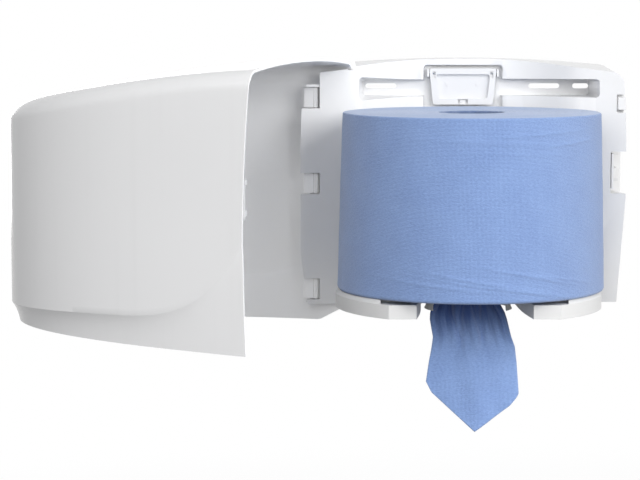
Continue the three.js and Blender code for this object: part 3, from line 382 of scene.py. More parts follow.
def smooth(t):
    """The smooth step 3t^2 - 2t^3 between 0 and 1."""
    t = np.clip(t, 0, 1)
    return t * t * (3 - 2 * t)


def bell(t):
    """A bell e^(-t^2), 1 at its middle."""
    return np.exp(-t ** 2)


def steps(start, stop, count):
    """A column of evenly spaced values after the start, up to the stop."""
    return np.linspace(start, stop, count + 1)[1:, None]


def piece(name, points, faces, material, body, uv=None, sharp=SHARP_ANGLE):
    """A mesh from points (n, 3) and quads (m, 4), shaded smooth up to a sharp angle in degrees."""
    mesh = bpy.data.meshes.new(name)
    faces = np.asarray(faces, dtype=np.int32)
    size = faces.shape[1]
    mesh.vertices.add(len(points))
    mesh.vertices.foreach_set("co", np.asarray(points, dtype=np.float32).ravel())
    mesh.loops.add(faces.size)
    mesh.loops.foreach_set("vertex_index", faces.ravel())
    mesh.polygons.add(len(faces))
    mesh.polygons.foreach_set("loop_start", np.arange(len(faces), dtype=np.int32) * size)
    mesh.update(calc_edges=True)
    if uv is not None:
        layer = mesh.uv_layers.new(name="map")
        layer.data.foreach_set("uv", np.asarray(uv, dtype=np.float32).ravel())
    return finished(name, mesh, material, body, sharp)


def finished(name, mesh, material, body, sharp=SHARP_ANGLE):
    """Closes the mesh, turns its faces outwards, and makes it a piece that rides on a body."""
    work = bmesh.new()
    work.from_mesh(mesh)
    bmesh.ops.remove_doubles(work, verts=work.verts, dist=MERGE_DISTANCE)
    bmesh.ops.dissolve_degenerate(work, edges=work.edges, dist=SHORTEST_EDGE)
    bmesh.ops.recalc_face_normals(work, faces=work.faces)
    work.to_mesh(mesh)
    work.free()
    mesh.shade_smooth()
    mesh.set_sharp_from_angle(angle=math.radians(sharp))
    mesh.materials.append(material)
    made = bpy.data.objects.new(name, mesh)
    bpy.context.scene.collection.objects.link(made)
    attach(made, body)
    return made


def grid_faces(rows, columns, wrap=False):
    """Quads over a grid of points that is stored row by row; wrap joins the last column to the first."""
    r = np.arange(rows - 1)[:, None] * columns
    c = np.arange(columns if wrap else columns - 1)[None, :]
    d = (c + 1) % columns
    return np.stack([r + c, r + d, r + columns + d, r + columns + c], axis=-1).reshape(-1, 4)


def grid_uv(u, v):
    """UV for each corner of grid_faces, from arrays u and v; a wrapped grid's have one more column."""
    before, after = slice(None, -1), slice(1, None)
    corners = [(before, before), (before, after), (after, after), (after, before)]
    return np.stack([np.stack([u[k], v[k]], axis=-1) for k in corners], axis=2).reshape(-1, 2)


def soften(made, width, angle=38, segments=2):
    """Rounds the edges of a piece that are sharper than an angle in degrees."""
    bevel = made.modifiers.new("edges", "BEVEL")
    bevel.width = width
    bevel.segments = segments
    bevel.limit_method = "ANGLE"
    bevel.angle_limit = math.radians(angle)
    bevel.harden_normals = True


def node_copy(node, name, material, body, edge):
    """A finished copy of a CAD node, with its edges rounded, that stands for the node."""
    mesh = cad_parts[node].data.copy()
    mesh.materials.clear()
    work = bmesh.new()
    work.from_mesh(mesh)
    bmesh.ops.remove_doubles(work, verts=work.verts, dist=MERGE_DISTANCE)
    bmesh.ops.dissolve_limit(work, angle_limit=math.radians(FLAT_ANGLE), verts=work.verts, edges=work.edges)
    work.to_mesh(mesh)
    work.free()
    made = finished(name, mesh, material, body)
    soften(made, edge)
    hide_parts(node)


# Cover: when shut, u runs across it from the hinge side to the latch side, and v forward from its rim

RIM_Y = -9 * MM
# The top is highest at the middle of the rim, and falls to the sides and to the front
TOP_LEVEL = 34 * MM
SIDE_FALL, SIDE_FALL_POWER = 7.9 * MM, 2.15
FRONT_FALL, FRONT_FALL_POWER = 43.6 * MM, 1.54
# The lower edge: on the latch side it rises forward, and on the hinge side it hangs lower, with a step up at
# the rim
LATCH_FOOT, LATCH_FOOT_RISE, LATCH_FOOT_FLICK = -245.5 * MM, 13 * MM, 4.9 * MM
HINGE_FOOT, HINGE_FOOT_DROP = -227.6 * MM, 30 * MM
HINGE_STEP, HINGE_STEP_REACH = 17 * MM, 35.6 * MM
# The crease runs level round the front and curves up to the rim, and the band below it is drawn in
CREASE_LEVEL, CREASE_RISE, CREASE_REACH, CREASE_POWER = -210 * MM, 72 * MM, 135 * MM, 2.8
BAND_INSET, BAND_FADE, TUCK_REACH = 3 * MM, 13 * MM, 230 * MM
BAND_EVEN_SHARE, BAND_CROWDING = 0.6, 1.7
# How far the plan shrinks over the rounded edge of the top, as a share
EDGE_SHRINK_SHARE = 0.099
# The rim bows forward, most at one level, as a parabola over a span above and below it
RIM_BOW, RIM_BOW_LEVEL, RIM_BOW_SPAN, RIM_BOW_REACH = 7.2 * MM, -150 * MM, 168 * MM, 60 * MM
# Rows of points: the band's even and crowded ones, then the wall, the rounded edge and the top
EVEN_ROWS, CROWDED_ROWS, WALL_ROWS, EDGE_ROWS, TOP_ROWS = 6, 16, 30, 15, 33


def plan_line(half_width, depth, count):
    """Points round the superellipse |x/w|^n + |y/d|^n = 1 from the latch side to the hinge side.

    They are evenly spaced along it. Up to the turn x is worked out from y, and past it y from x.
    """
    power = 3.77
    turn = 0.93
    samples = 600
    side = np.linspace(0, turn, samples)
    front = np.linspace((1 - turn ** power) ** (1 / power), 0, samples)[1:]
    y = np.concatenate([side, (1 - front ** power) ** (1 / power)])
    x = np.concatenate([(1 - side ** power) ** (1 / power), front])
    x = np.concatenate([x, -x[-2::-1]]) * half_width
    y = np.concatenate([y, y[-2::-1]]) * depth
    run = np.concatenate([[0], np.cumsum(np.hypot(np.diff(x), np.diff(y)))])
    even = np.linspace(0, run[-1], count)
    return np.interp(even, run, x), np.interp(even, run, y)


def cover_height(settings, u, v):
    """Height of the cover's top: it falls to the sides and to the front as powers of |u| and v."""
    to_side = np.abs(2 * u / settings.width) ** SIDE_FALL_POWER
    to_front = (np.maximum(v, 0) / settings.depth) ** FRONT_FALL_POWER
    return TOP_LEVEL - SIDE_FALL * to_side - FRONT_FALL * to_front


def cover_foot(settings, u, v):
    """Height of the lower edge: a cubic of v on the latch side, and a smooth step of u on the hinge side."""
    forward = v / settings.depth
    latch = LATCH_FOOT + LATCH_FOOT_RISE * forward + LATCH_FOOT_FLICK * forward ** 3
    step = HINGE_STEP * np.maximum(0, 1 - v / HINGE_STEP_REACH)
    hinge = HINGE_FOOT - HINGE_FOOT_DROP * smooth(-2 * u / settings.width) + step
    return np.where(u >= 0, latch, hinge)


def cover_skin(settings, inset):
    """Rows from the lower edge up over the top to the middle of the rim, moved in by inset.

    Each row is the plan's superellipse. The band below the crease leans to a smaller one by 1 - e^(-drop),
    the edge is a quarter circle that shrinks the plan, and the top shrinks it on to a point at the rim.
    """
    half = settings.width / 2 - inset
    depth = settings.depth - inset
    radius = settings.edge_radius - inset
    u, v = plan_line(half, depth, settings.columns)
    low_u, low_v = plan_line(half - BAND_INSET, depth - BAND_INSET, settings.columns)
    foot = cover_foot(settings, u, v)
    crease = CREASE_LEVEL + CREASE_RISE * np.maximum(0, 1 - v / CREASE_REACH) ** CREASE_POWER
    edge = cover_height(settings, u, v) - inset - radius
    tuck = 1 + settings.tuck / BAND_INSET * smooth(v / TUCK_REACH)
    even = np.linspace(0, BAND_EVEN_SHARE, EVEN_ROWS + 1)[:-1]
    crowded = 1 - (1 - BAND_EVEN_SHARE) * np.linspace(1, 0, CROWDED_ROWS) ** BAND_CROWDING
    rows = []
    for t in np.concatenate([even, crowded]):
        z = foot + (crease - foot) * t
        s = tuck * (1 - np.exp(-(crease - z) / BAND_FADE))
        rows.append((u + (low_u - u) * s, v + (low_v - v) * s, z))
    for t in np.linspace(0, 1, WALL_ROWS + 2)[1:-1]:
        rows.append((u, v, crease + (edge - crease) * t))
    for a in np.linspace(0, math.pi / 2, EDGE_ROWS):
        s = 1 - EDGE_SHRINK_SHARE * (1 - math.cos(a))
        drop = radius * (1 - math.sin(a))
        rows.append((u * s, v * s, cover_height(settings, u * s, v * s) - inset - drop))
    for t in np.linspace(1, 0, TOP_ROWS + 1)[1:]:
        s = (1 - EDGE_SHRINK_SHARE) * t
        rows.append((u * s, v * s, cover_height(settings, u * s, v * s) - inset))
    points = np.array([np.stack([x, RIM_Y - y, z], axis=-1) for x, y, z in rows])
    bow = RIM_BOW * np.maximum(0, 1 - ((points[..., 2] - RIM_BOW_LEVEL) / RIM_BOW_SPAN) ** 2)
    points[..., 1] -= bow * np.maximum(0, 1 + (points[..., 1] - RIM_Y) / RIM_BOW_REACH)
    return points


def opened(points):
    """Points of the shut cover, turned about the hinge to where it stands open."""
    cos, sin = math.cos(OPEN_ANGLE), math.sin(OPEN_ANGLE)
    turn = np.array([[cos, sin, 0], [-sin, cos, 0], [0, 0, 1]])
    return (points - HINGE) @ turn.T + HINGE


# A hinge arm in plan: a barrel round the pin, from an angle in degrees, and a block with two grooves in its
# face, each from a place to a place in millimetres behind the pin
ARM_HALF_HEIGHT = 10.8 * MM
ARM_BARREL_RADIUS, ARM_BARREL_START = 3.6 * MM, 24
ARM_BLOCK_REACH, ARM_CORNER = 14 * MM, 3 * MM
ARM_GROOVE_DEPTH, ARM_EDGE = 1.1 * MM, 0.25 * MM
ARM_GROOVES = ((-1.5, -0.9), (0.5, 1.4))
# Each arm: its name, its level, and the place across the shut cover where it ends in the wall, in millimetres
HINGE_ARMS = (("upper", -11, -180.4), ("middle", -104.8, -180.4), ("lower", -221, -177.8))


def hinge_arm(level, wall):
    """Points and faces of an arm: its outline in plan, as an upright prism about a level.

    The outline runs from inside the cover's wall round the block's corner, along its grooved face, and a
    quarter circle round the barrel back to the wall. The barrel takes the place of the last groove's end.
    """
    x, y, r = HINGE[0], HINGE[1], ARM_BARREL_RADIUS
    face, front = x + r, y - ARM_BLOCK_REACH
    turn = np.linspace(-math.pi / 2, 0, 7)[1:]
    barrel = np.radians(np.linspace(ARM_BARREL_START, 90, 8))
    grooves = [(face - depth, y + at * MM) for low, high in ARM_GROOVES
               for depth, at in ((0, low), (ARM_GROOVE_DEPTH, low), (ARM_GROOVE_DEPTH, high), (0, high))]
    outline = np.array([
        (wall, front), (face - ARM_CORNER, front),
        *zip(face - ARM_CORNER + ARM_CORNER * np.cos(turn), front + ARM_CORNER + ARM_CORNER * np.sin(turn)),
        *grooves[:-1],
        *zip(x + r * np.cos(barrel), y + r * np.sin(barrel)), (wall, y + r),
    ])
    count = len(outline)
    heights = (level - ARM_HALF_HEIGHT, level + ARM_HALF_HEIGHT)
    low, high = (np.column_stack([outline, np.full(count, height)]) for height in heights)
    sides = [(i, (i + 1) % count, (i + 1) % count + count, i + count) for i in range(count)]
    ends = [tuple(range(count))[::-1], tuple(range(count, 2 * count))]
    return opened(np.vstack([low, high])), sides + ends


class DISPENSER_OT_cover(bpy.types.Operator):
    """Make the cover's shell and its hinge arms"""

    bl_idname = "dispenser.cover"
    bl_label = "Cover"

    def execute(self, context):
        settings = context.scene.dispenser_cover
        outer = opened(cover_skin(settings, 0))
        inner = opened(cover_skin(settings, settings.wall))
        rows, columns = outer.shape[:2]
        count = rows * columns
        index = np.arange(count).reshape(rows, columns)
        edges = (index[:, 0], index[:, -1], index[0])
        rims = [np.stack([e[:-1], e[1:], e[1:] + count, e[:-1] + count], axis=-1) for e in edges]
        skin = grid_faces(rows, columns)
        faces = np.concatenate([skin, skin + count, *rims])
        uv = np.zeros((len(faces), 4, 2))
        uv[len(skin):, :, 0] = 1
        points = np.concatenate([outer.reshape(-1, 3), inner.reshape(-1, 3)])
        shell = piece("cover_moulding", points, faces, cover_plastic(settings), "cover", uv)
        soften(shell, settings.lip, angle=60, segments=3)
        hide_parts("cover_shell")
        # The hinge arms take the inside's colour, painted lighter as on the inside
        satin = plastic("arm_plastic", tuple(settings.inside), roughness=0.45)
        for name, level, wall in HINGE_ARMS:
            points, faces = hinge_arm(level * MM, wall * MM)
            mesh = bpy.data.meshes.new(f"hinge_arm_{name}")
            mesh.from_pydata(points.tolist(), [], faces)
            arm = finished(f"hinge_arm_{name}", mesh, satin, "cover")
            soften(arm, ARM_EDGE)
        return {"FINISHED"}


# Mouldings and fixings: each node, its piece's name, finish, body, share of the edge's rounding, and slot

MOULDINGS = (
    ("back_plate", "back_plate_moulding", "plate", "body", 1, "plate_white"),
    ("roll_shelf", "shelf_moulding", "shelf", "body", 1.4, "shelf_grey"),
    ("feed_nozzle", "nozzle_moulding", "shelf", "body", 1, "shelf_grey"),
    ("guide_clip", "guide_clip_moulding", "trim", "body", 1, "trim_white"),
    ("centre_flap", "flap_moulding", "trim", "flap", 1, "trim_white"),
    ("latch_slide", "latch_slide_moulding", "trim", "latch", 0.7, "trim_white"),
    ("cover_catch", "catch_moulding", "trim", "cover", 0.8, "trim_white"),
    *((f"hinge_pin_{place}", f"hinge_pin_{place}_turned", "trim", "body", 0.6, "trim_white")
      for place in ("upper", "middle", "lower")),
    *((f"flap_pin_{side}", f"flap_pivot_{side}", "steel", "body", 0.4, "steel")
      for side in ("left", "right")),
    *((f"shelf_screw_{number}", f"shelf_fixing_{number}", "steel", "body", 0.6, "steel")
      for number in range(1, 5)),
    *((f"catch_screw_{number}", f"catch_fixing_{number}", "steel", "cover", 0.5, "steel")
      for number in range(1, 3)),
    ("latch_screw", "latch_fixing", "steel", "body", 0.5, "steel"),
)


class DISPENSER_OT_mouldings(bpy.types.Operator):
    """Finish the back plate, shelf, nozzle, flap, latch, clips and fixings"""

    bl_idname = "dispenser.mouldings"
    bl_label = "Mouldings"

    def execute(self, context):
        settings = context.scene.dispenser_mouldings
        finishes = {
            "plate": plastic("plate_plastic", tuple(settings.plate), roughness=0.42),
            "trim": plastic("trim_plastic", tuple(settings.trim), roughness=0.38),
            "shelf": plastic("shelf_plastic", tuple(settings.shelf), roughness=0.5),
            "steel": plated_steel(settings),
        }
        for node, name, finish, body, share, slot in MOULDINGS:
            node_copy(node, name, finishes[finish], body, settings.edge * share)
        return {"FINISHED"}


# Paper roll

CROWN_RADIUS, HEEL_RADIUS, MOUTH_RADIUS = 1.8 * MM, 3.2 * MM, 2 * MM
# How the roll's side departs from a cone: a belly, and flats that go 3, 7 and 17 times round
TAPER_POWER = 0.8
BELLY = 1.8 * MM
FLATS, SMALL_FLATS, DENTS = 0.35 * MM, 0.22 * MM, 0.16 * MM
# The bore's ragged edge: depth in millimetres, times round, and phase
BORE_WAVES = ((0.7, 2, 1), (0.5, 5, 0), (0.5, 13, 2))
# The end's swell: where single turns stand out, and broadly from rim to bore
TURN_SWELL, TURN_SWELL_PITCH = 0.25 * MM, 9 * MM
BROAD_SWELL, BROAD_SWELL_COUNT = 0.5 * MM, 1.3
SWELL_FADE = 8
# Share of the lean that the roll's foot has too
FOOT_LEAN_SHARE = 0.7
# Wrinkles are placed on the side rolled out flat at this radius, in millimetres, from the side's front
WRINKLE_RADIUS = 139
WRINKLE_SHARE = 0.8
# Each wrinkle in millimetres: place along, level, slope, half length, half width, and height
WRINKLES = (
    (10, 20, -0.17, 60, 1.9, 1.1),
    (34, 13, -0.14, 70, 1.4, 1.0),
    (62, 25, -0.2, 50, 1.6, 1.2),
    (96, 22, -0.16, 44, 1.4, 1.0),
    (-40, 17, -0.1, 60, 1.8, 0.7),
    (70, 168, 0.05, 60, 1.8, 0.7),
    (20, 160, -0.04, 70, 2.2, 0.6),
    (110, 158, 0.08, 40, 1.6, 0.7),
    (60, 148, -0.03, 60, 2.0, 0.4),
)
# Rings of points in each stretch of the roll's profile, and points in a ring
RINGS = {"side": 180, "shoulder": 6, "top": 41, "mouth": 4, "well": 9, "foot": 11, "heel": 6}
ROLL_COLUMNS = 360
# Rings of the shoulder and of the mouth that lie flat enough to count as the roll's end
LAP = 2
# Metres of the end's pattern for each radian
END_STRETCH = 60 * MM


def roll_side(settings, theta, z):
    """Radius of the roll's side: a cone with a belly, plus sines for its flats and bells for its wrinkles."""
    s = z / settings.height
    radius = settings.foot_radius + (settings.top_radius - settings.foot_radius) * s ** TAPER_POWER
    radius = radius + BELLY * s * (1 - s)
    radius = radius + FLATS * np.sin(3 * theta + 0.7) + SMALL_FLATS * np.sin(7 * theta + 2 + 2.6 * s)
    radius = radius + DENTS * np.sin(17 * theta + 9 * s) * np.sin(11 * s + 1)
    along = ((theta + 1.5 * math.pi) % (2 * math.pi) - math.pi) * WRINKLE_RADIUS
    for place, level, slope, reach, width, height in WRINKLES:
        off = (z / MM - level - slope * (along - place)) / width
        radius = radius + height * MM * WRINKLE_SHARE * bell((along - place) / reach) * bell(off)
    return radius


def roll_profile(settings, theta):
    """The roll's skin in the stretches of RINGS, each as radii and levels over the angle.

    The side runs up to the shoulder's quarter circle, the top runs in over a slight swell to the mouth's
    quarter circle, the well runs down, the foot runs out, and the heel's quarter circle closes it.
    """
    height = settings.height
    z = np.linspace(HEEL_RADIUS, height - CROWN_RADIUS, RINGS["side"])[:, None]
    side = roll_side(settings, theta, z)
    bore = settings.bore_radius + sum(deep * MM * np.sin(times * theta + phase)
                                      for deep, times, phase in BORE_WAVES)
    turn = steps(0, math.pi / 2, RINGS["shoulder"])
    shoulder = side[-1:] - CROWN_RADIUS * (1 - np.cos(turn))
    run = steps(0, 1, RINGS["top"])
    top = shoulder[-1:] + (bore + MOUTH_RADIUS - shoulder[-1:]) * run
    swell = TURN_SWELL * np.sin(2 * math.pi * top / TURN_SWELL_PITCH + theta)
    swell = swell + BROAD_SWELL * np.sin(2 * math.pi * run * BROAD_SWELL_COUNT + theta)
    swell = swell * smooth(run * SWELL_FADE) * smooth((1 - run) * SWELL_FADE)
    down = steps(0, math.pi / 2, RINGS["mouth"])
    mouth = bore + MOUTH_RADIUS * (1 - np.sin(down))
    well = steps(1, 0, RINGS["well"])
    out = steps(0, 1, RINGS["foot"])
    rise = steps(0, math.pi / 2, RINGS["heel"])
    return (
        (side, z),
        (shoulder, height - CROWN_RADIUS + CROWN_RADIUS * np.sin(turn)),
        (top, height + swell),
        (mouth, height - MOUTH_RADIUS * (1 - np.cos(down))),
        (bore + 0 * well, (height - MOUTH_RADIUS) * well),
        (bore + (side[:1] - HEEL_RADIUS - bore) * out, 0 * out),
        (side[:1] - HEEL_RADIUS * (1 - np.sin(rise)), HEEL_RADIUS * (1 - np.cos(rise))),
    )


class DISPENSER_OT_roll(bpy.types.Operator):
    """Make the paper roll, a revolved profile with soft edges and a few wrinkles"""

    bl_idname = "dispenser.roll"
    bl_label = "Roll"

    def execute(self, context):
        settings = context.scene.dispenser_paper
        columns = ROLL_COLUMNS
        theta = np.linspace(0, 2 * math.pi, columns, endpoint=False)[None, :]
        stretches = roll_profile(settings, theta)
        radius = np.vstack([radii for radii, _ in stretches])
        level = np.vstack([levels + 0 * theta for _, levels in stretches])
        slip = settings.lean * (FOOT_LEAN_SHARE + (1 - FOOT_LEAN_SHARE) * level / settings.height)
        points = np.stack([slip + radius * np.cos(theta), ROLL_Y + radius * np.sin(theta), ROLL_FOOT + level],
                          axis=-1)
        rows = len(points)
        faces = grid_faces(rows, columns, wrap=True)

        top_start = RINGS["side"] + RINGS["shoulder"]
        mouth_start = top_start + RINGS["top"]
        flat = np.zeros((rows - 1, columns), dtype=bool)
        flat[top_start - LAP:mouth_start + LAP] = True
        flat[-RINGS["foot"] - RINGS["heel"]:-RINGS["heel"]] = True
        finish = flat.astype(np.int32)
        finish[mouth_start:mouth_start + RINGS["well"] + LAP] = 2

        angle = np.linspace(0, 2 * math.pi, columns + 1)[None, :] + np.zeros((rows, 1))
        ring_gaps = np.hypot(np.diff(radius[:, 0]), np.diff(level[:, 0]))
        run = np.concatenate([[0], np.cumsum(ring_gaps)])[:, None] + 0 * angle
        side_uv = grid_uv(angle * settings.foot_radius, run)
        end_uv = grid_uv(np.hstack([radius, radius[:, :1]]), angle * END_STRETCH)
        uv = np.where(np.repeat(flat.ravel(), 4)[:, None], end_uv, side_uv)

        paper = creped_paper(settings, "roll_paper")
        roll = piece("paper_roll_wound", points.reshape(-1, 3), faces, paper, "roll", uv, sharp=70)
        # The roll's ends are painted darker than its side, painted shade for how the top light falls on them
        roll.data.materials.append(creped_paper(settings, "roll_end_paper", ends=True, bright=0.84))
        # The bore is painted darker, painted shade inside the hole
        roll.data.materials.append(creped_paper(settings, "bore_paper", bright=0.6))
        roll.data.polygons.foreach_set("material_index", finish.ravel())
        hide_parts("paper_roll")
        return {"FINISHED"}


# Tail: its tables and places are in millimetres, and shares are of its width from the left

TAIL_STEPS = 150
TAIL_TOP = -88
# How far below its top the tail's painted shadow fades, a dark colour for the shade under the roll and shelf
NOZZLE_SHADOW_FADE = (134 * MM, 182 * MM)
# Each level of the tail: height, left edge, right edge, half depth between its layers
TAIL_LEVELS = np.array([
    (-88, -11, 11, 0.9),
    (-150, -13, 12, 1.6),
    (-190, -20, 18, 3.5),
    (-209, -29, 26, 5.0),
    (-226, -37.6, 35.2, 5.5),
    (-233, -40.2, 39.0, 5.5),
    (-240, -40.4, 41.4, 5.2),
    (-259, -36.9, 46.1, 4.6),
    (-270, -38.4, 50.2, 4.0),
    (-286, -41.2, 52.2, 3.4),
    (-307, -44.1, 53.9, 3.0),
    (-319, -44.1, 54.8, 2.4),
    (-361, -44.1, 54.8, 1.8),
])
# The lower edge: share and height
TAIL_END = np.array([(0, -307), (0.06, -318.8), (0.522, -360.7), (0.762, -343), (0.9, -333), (0.977, -324),
                     (1, -318.8)])
# The back layer is narrower and ends higher
BACK_SHARE, BACK_LIFT, BACK_LIFT_RATE = 0.96, 7, 6
# The share over which the front layer rounds into the fold
FOLD_SHARE = 0.06
# Where the sheet leaves the core's wall, where it falls smooth, and where its gathers start, with their spans
FREE_FROM, FREE_SPAN = -140, 63
SMOOTH_FROM, SMOOTH_SPAN = -214, 60
GATHERED_FROM, GATHERED_SPAN = -292, 58
# Broad folds: height, count across, phase, phase for each millimetre, and share lost where it falls smooth
TAIL_FOLDS = ((4.2, 1.15, 0.12, 0, 0.45), (1.6, 3.1, 0, 0.006, 0.7))
# Slanting ripples: height, slant, radians for each millimetre, phase, level, and half height of their band
TAIL_RIPPLES = ((0.9, 0.55, 0.21, 0, -240, 26), (0.7, -0.8, 0.16, 1, -262, 30))
# The ridge: height, place, slant, level, half width, and half length
RIDGE_HEIGHT, RIDGE_PLACE, RIDGE_SLANT, RIDGE_LEVEL, RIDGE_WIDTH, RIDGE_REACH = 2.4, 7, 0.28, -258, 5, 24
# How much of the ripples and the ridge the back layer shows
BACK_RELIEF_SHARE = 0.4
# Creases where the tail is gathered: share, slope of that share for each metre, half width, and depth
CREASE_MIDDLE = -226
TAIL_CREASES = ((0.1, 2.4, 0.035, 3.2), (0.27, -2.0, 0.03, 3.6), (0.42, 2.2, 0.04, 4.0),
                (0.58, -1.2, 0.03, 3.0), (0.71, 2.8, 0.035, 3.6), (0.88, -1.8, 0.03, 2.8))
# Room that the tail keeps in the bore, in the nozzle down to its lower end, and below that
BORE_CLEARANCE = 1.6
NOZZLE_END, NOZZLE_REACH, OPEN_REACH = -229, 37.8, 80


def tail_points(settings):
    """The tail: a sheet folded double, its front layer with slanting creases, gathered into the nozzle.

    p runs across the sheet: from 0 to 0.5 over the front layer, then round the right-hand fold and back
    behind it. q runs down it. The lower end is cut to a point. Its depth is a sum of sines for the broad
    folds and ripples and of bells for the creases and the ridge, kept inside the bore and the nozzle.
    """
    p = np.linspace(0, 1, TAIL_STEPS)[None, :]
    q = np.linspace(0, 1, TAIL_STEPS)[:, None]
    share = np.where(p < 0.5, p * 2, (1 - p) * 2 * BACK_SHARE + 1 - BACK_SHARE)
    front_end = np.interp(share, TAIL_END[:, 0], TAIL_END[:, 1])
    back_end = front_end + BACK_LIFT * smooth((p - 0.5) * BACK_LIFT_RATE)
    end = np.where(p <= 0.5, front_end, back_end)
    z = TAIL_TOP + (end - TAIL_TOP) * q
    levels = TAIL_LEVELS[::-1]
    left, right, half = (np.interp(z, levels[:, 0], levels[:, k]) for k in (1, 2, 3))
    x = left + (right - left) * share

    free = smooth((FREE_FROM - z) / FREE_SPAN)
    fall = smooth((SMOOTH_FROM - z) / SMOOTH_SPAN)
    gathered = smooth((z - GATHERED_FROM) / GATHERED_SPAN)
    fold = np.clip((share - 1 + FOLD_SHARE) / FOLD_SHARE, 0, 1)
    layer = np.where(p < 0.5, -1, 1) * np.sqrt(1 - fold ** 2)
    relief = sum(height * np.sin(2 * math.pi * (count * share + phase + drift * z)) * (1 - lost * fall)
                 for height, count, phase, drift, lost in TAIL_FOLDS)
    for place, slope, width, depth in TAIL_CREASES:
        off = (share - place - slope * (z - CREASE_MIDDLE) * MM) / width
        relief = relief + depth * gathered * bell(off)
    ripples = sum(height * np.sin((x + slant * z) * pitch + phase) * bell((z - level) / span)
                  for height, slant, pitch, phase, level, span in TAIL_RIPPLES)
    below = z - RIDGE_LEVEL
    ridge = RIDGE_HEIGHT * bell((x - RIDGE_PLACE + RIDGE_SLANT * below) / RIDGE_WIDTH)
    ridge = ridge * bell(below / RIDGE_REACH)
    shown = np.where(p < 0.5, 1, BACK_RELIEF_SHARE)

    core = settings.bore_radius / MM - BORE_CLEARANCE
    against = np.sqrt(np.clip(core ** 2 - x ** 2, 0, None))
    y = against * (1 - free) + (relief + (ripples - ridge) * shown) * free + layer * half
    room = np.where(z > NOZZLE_END, NOZZLE_REACH, OPEN_REACH)
    y = np.where(np.hypot(x, y) > room, np.sign(y) * np.sqrt(np.clip(room ** 2 - x ** 2, 0, None)), y)
    return np.stack([x * MM, ROLL_Y + y * MM, z * MM], axis=-1), p


class DISPENSER_OT_tail(bpy.types.Operator):
    """Make the folded tail that hangs from the roll's middle through the nozzle"""

    bl_idname = "dispenser.tail"
    bl_label = "Tail"

    def execute(self, context):
        settings = context.scene.dispenser_paper
        points, p = tail_points(settings)
        rows, columns = points.shape[:2]
        down = TAIL_TOP * MM - points[..., 2]
        uv = grid_uv(p * settings.height + 0 * down, down)
        # The tail is painted lighter than the roll, painted light that lifts it out of the roll's shade; its
        # top carries the painted shadow
        paper = creped_paper(settings, "tail_paper", bright=1.28, gathered=NOZZLE_SHADOW_FADE)
        tail = piece("paper_tail_folded", points.reshape(-1, 3), grid_faces(rows, columns), paper, "tail", uv,
                     sharp=80)
        ply = tail.modifiers.new("ply", "SOLIDIFY")
        ply.thickness = settings.sheet
        ply.offset = 0
        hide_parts("paper_tail")
        return {"FINISHED"}


# Stage, in metres

CAMERA_PLACE = (-156.2 * MM, -2512.5 * MM, 88 * MM)
SENSOR_WIDTH = 36
FARTHEST_SEEN = 50
FLOOR_REACH = 14.0
# The floor fades into the background between these distances from the middle
FADE_START, FADE_END = 0.7, 1.3
NEAR_GLOW = 0.55
FLOOR_WHITE = (0.95, 0.95, 0.95)
FLOOR_BOUNCE = (0.22, 0.22, 0.22)
SKY = (0.985, 0.99, 1)
WHITE = (1, 1, 1)
MIDDLE = np.array((-0.1, -0.15, -0.1))
# Each lamp, named for the setting that holds its strength: its place, what it points at, its width and height
LAMPS = {
    "key": (MIDDLE + (2.4, -1.3, 1.2), MIDDLE, (1.5, 1.5)),
    "fill": (MIDDLE + (1.35, -2.4, 0.85), MIDDLE, (1.4, 1.3)),
    "side": (MIDDLE + (-0.58, -2.8, 0.75), MIDDLE, (0.9, 1.2)),
    "back": (MIDDLE + (-0.5, 2.8, 0.1), MIDDLE, (2.2, 0.8)),
    "top": (np.array((-0.45, -2.0, 1.75)), np.array((-0.3, -0.2, 0)), (2.4, 0.14)),
}


def lamp(name, place, aim, size, power):
    """A lamp of a width and height at a place, turned towards a point."""
    light = bpy.data.lights.new(name, "AREA")
    light.shape = "RECTANGLE"
    light.size, light.size_y = size
    light.energy = power
    made = bpy.data.objects.new(name, light)
    made.location = place
    x, y, z = aim - place
    made.rotation_euler = (math.atan2(math.hypot(x, y), -z), 0, math.atan2(y, x) - math.pi / 2)
    bpy.context.scene.collection.objects.link(made)
    return made


def floor_paint():
    """White to the camera, fading into the background far off, and darker to the light it throws back."""
    made = Finish("floor_pale", Roughness=0.9)
    across, along, _ = made.axes(made.place())
    far = ((across * across + along * along) ** 0.5).between(FADE_START, FADE_END)
    shown = made.shown()
    made.feed("Base Color", made.mix(shown, FLOOR_BOUNCE, FLOOR_WHITE))
    paint = Socket(made, made.shader.outputs[0])
    glow = (far * (1 - NEAR_GLOW) + NEAR_GLOW) * shown
    mixed = made.node("ShaderNodeMixShader", {0: glow, 1: paint, 2: made.node("ShaderNodeEmission")})
    made.plug(made.tree.nodes["Material Output"].inputs["Surface"], mixed)
    return made.material


def sky():
    """A world that is white to the camera and soft light to all else."""
    world = bpy.data.worlds.new("studio")
    world.use_nodes = True
    world.node_tree.nodes.clear()
    made = Nodes(world.node_tree)
    ambient = bpy.context.scene.dispenser_stage.ambient
    soft = made.node("ShaderNodeBackground", {"Color": SKY, "Strength": ambient})
    bright = made.node("ShaderNodeBackground", {"Color": WHITE, "Strength": 1})
    mixed = made.node("ShaderNodeMixShader", {0: made.shown(), 1: soft, 2: bright})
    made.plug(made.tree.nodes.new("ShaderNodeOutputWorld").inputs["Surface"], mixed)
    return world


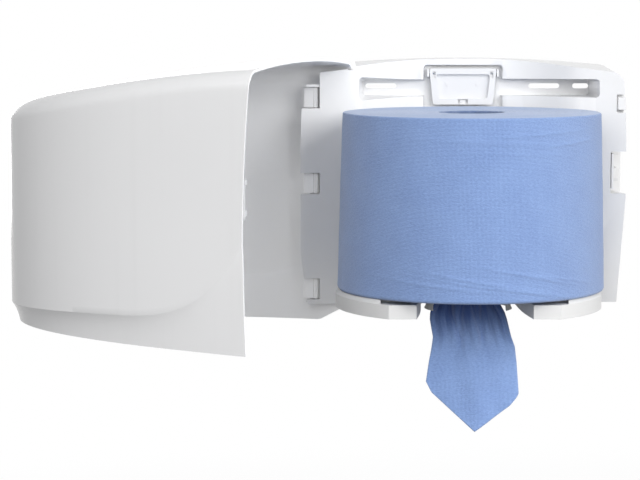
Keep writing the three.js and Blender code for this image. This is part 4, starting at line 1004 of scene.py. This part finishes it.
class DISPENSER_OT_stage(bpy.types.Operator):
    """Make the camera, floor, lamps and world"""

    bl_idname = "dispenser.stage"
    bl_label = "Stage"

    def execute(self, context):
        settings = context.scene.dispenser_stage
        scene = context.scene
        camera = bpy.data.cameras.new("camera")
        camera.lens = settings.lens
        camera.sensor_width = SENSOR_WIDTH
        camera.clip_end = FARTHEST_SEEN
        viewer = bpy.data.objects.new("camera", camera)
        viewer.location = CAMERA_PLACE
        viewer.rotation_euler = (math.pi / 2 - settings.pitch, 0, 0)
        scene.collection.objects.link(viewer)
        scene.camera = viewer

        mesh = bpy.data.meshes.new("floor")
        corners = [(x * FLOOR_REACH, y * FLOOR_REACH, settings.floor)
                   for x, y in ((-1, -1), (1, -1), (1, 1), (-1, 1))]
        mesh.from_pydata(corners, [], [(0, 1, 2, 3)])
        mesh.materials.append(floor_paint())
        floor = bpy.data.objects.new("floor", mesh)
        scene.collection.objects.link(floor)

        scene.world = sky()
        for name, (place, aim, size) in LAMPS.items():
            made = lamp(f"{name}_lamp", place, aim, size, getattr(settings, name))
            made.visible_camera = name != "back"
        return {"FINISHED"}


# Panel and registration


class DISPENSER_PT_panel(bpy.types.Panel):
    """Lists the dispenser's operators and settings"""

    bl_idname = "DISPENSER_PT_panel"
    bl_label = "Dispenser"
    bl_space_type = "VIEW_3D"
    bl_region_type = "UI"
    bl_category = "Dispenser"

    def draw(self, context):
        for operator, group in STEPS:
            self.layout.operator(f"dispenser.{operator}")
            for key in getattr(context.scene, group).bl_rna.properties.keys():
                if key not in {"rna_type", "name"}:
                    self.layout.prop(getattr(context.scene, group), key)


GROUPS = {
    "dispenser_cover": DispenserCoverSettings,
    "dispenser_mouldings": DispenserMouldingSettings,
    "dispenser_paper": DispenserPaperSettings,
    "dispenser_stage": DispenserStageSettings,
}
STEPS = (
    ("stage", "dispenser_stage"),
    ("cover", "dispenser_cover"),
    ("mouldings", "dispenser_mouldings"),
    ("roll", "dispenser_paper"),
    ("tail", "dispenser_paper"),
)
CLASSES = (
    *GROUPS.values(),
    DISPENSER_OT_stage,
    DISPENSER_OT_cover,
    DISPENSER_OT_mouldings,
    DISPENSER_OT_roll,
    DISPENSER_OT_tail,
    DISPENSER_PT_panel,
)


def register():
    for cls in CLASSES:
        bpy.utils.register_class(cls)
    for name, group in GROUPS.items():
        setattr(bpy.types.Scene, name, PointerProperty(type=group))


def unregister():
    for name in GROUPS:
        delattr(bpy.types.Scene, name)
    for cls in reversed(CLASSES):
        bpy.utils.unregister_class(cls)


def main():
    register()
    bpy.context.scene.view_settings.view_transform = "Standard"
    for operator, _ in STEPS:
        getattr(bpy.ops.dispenser, operator)()


if __name__ == "__main__":
    main()
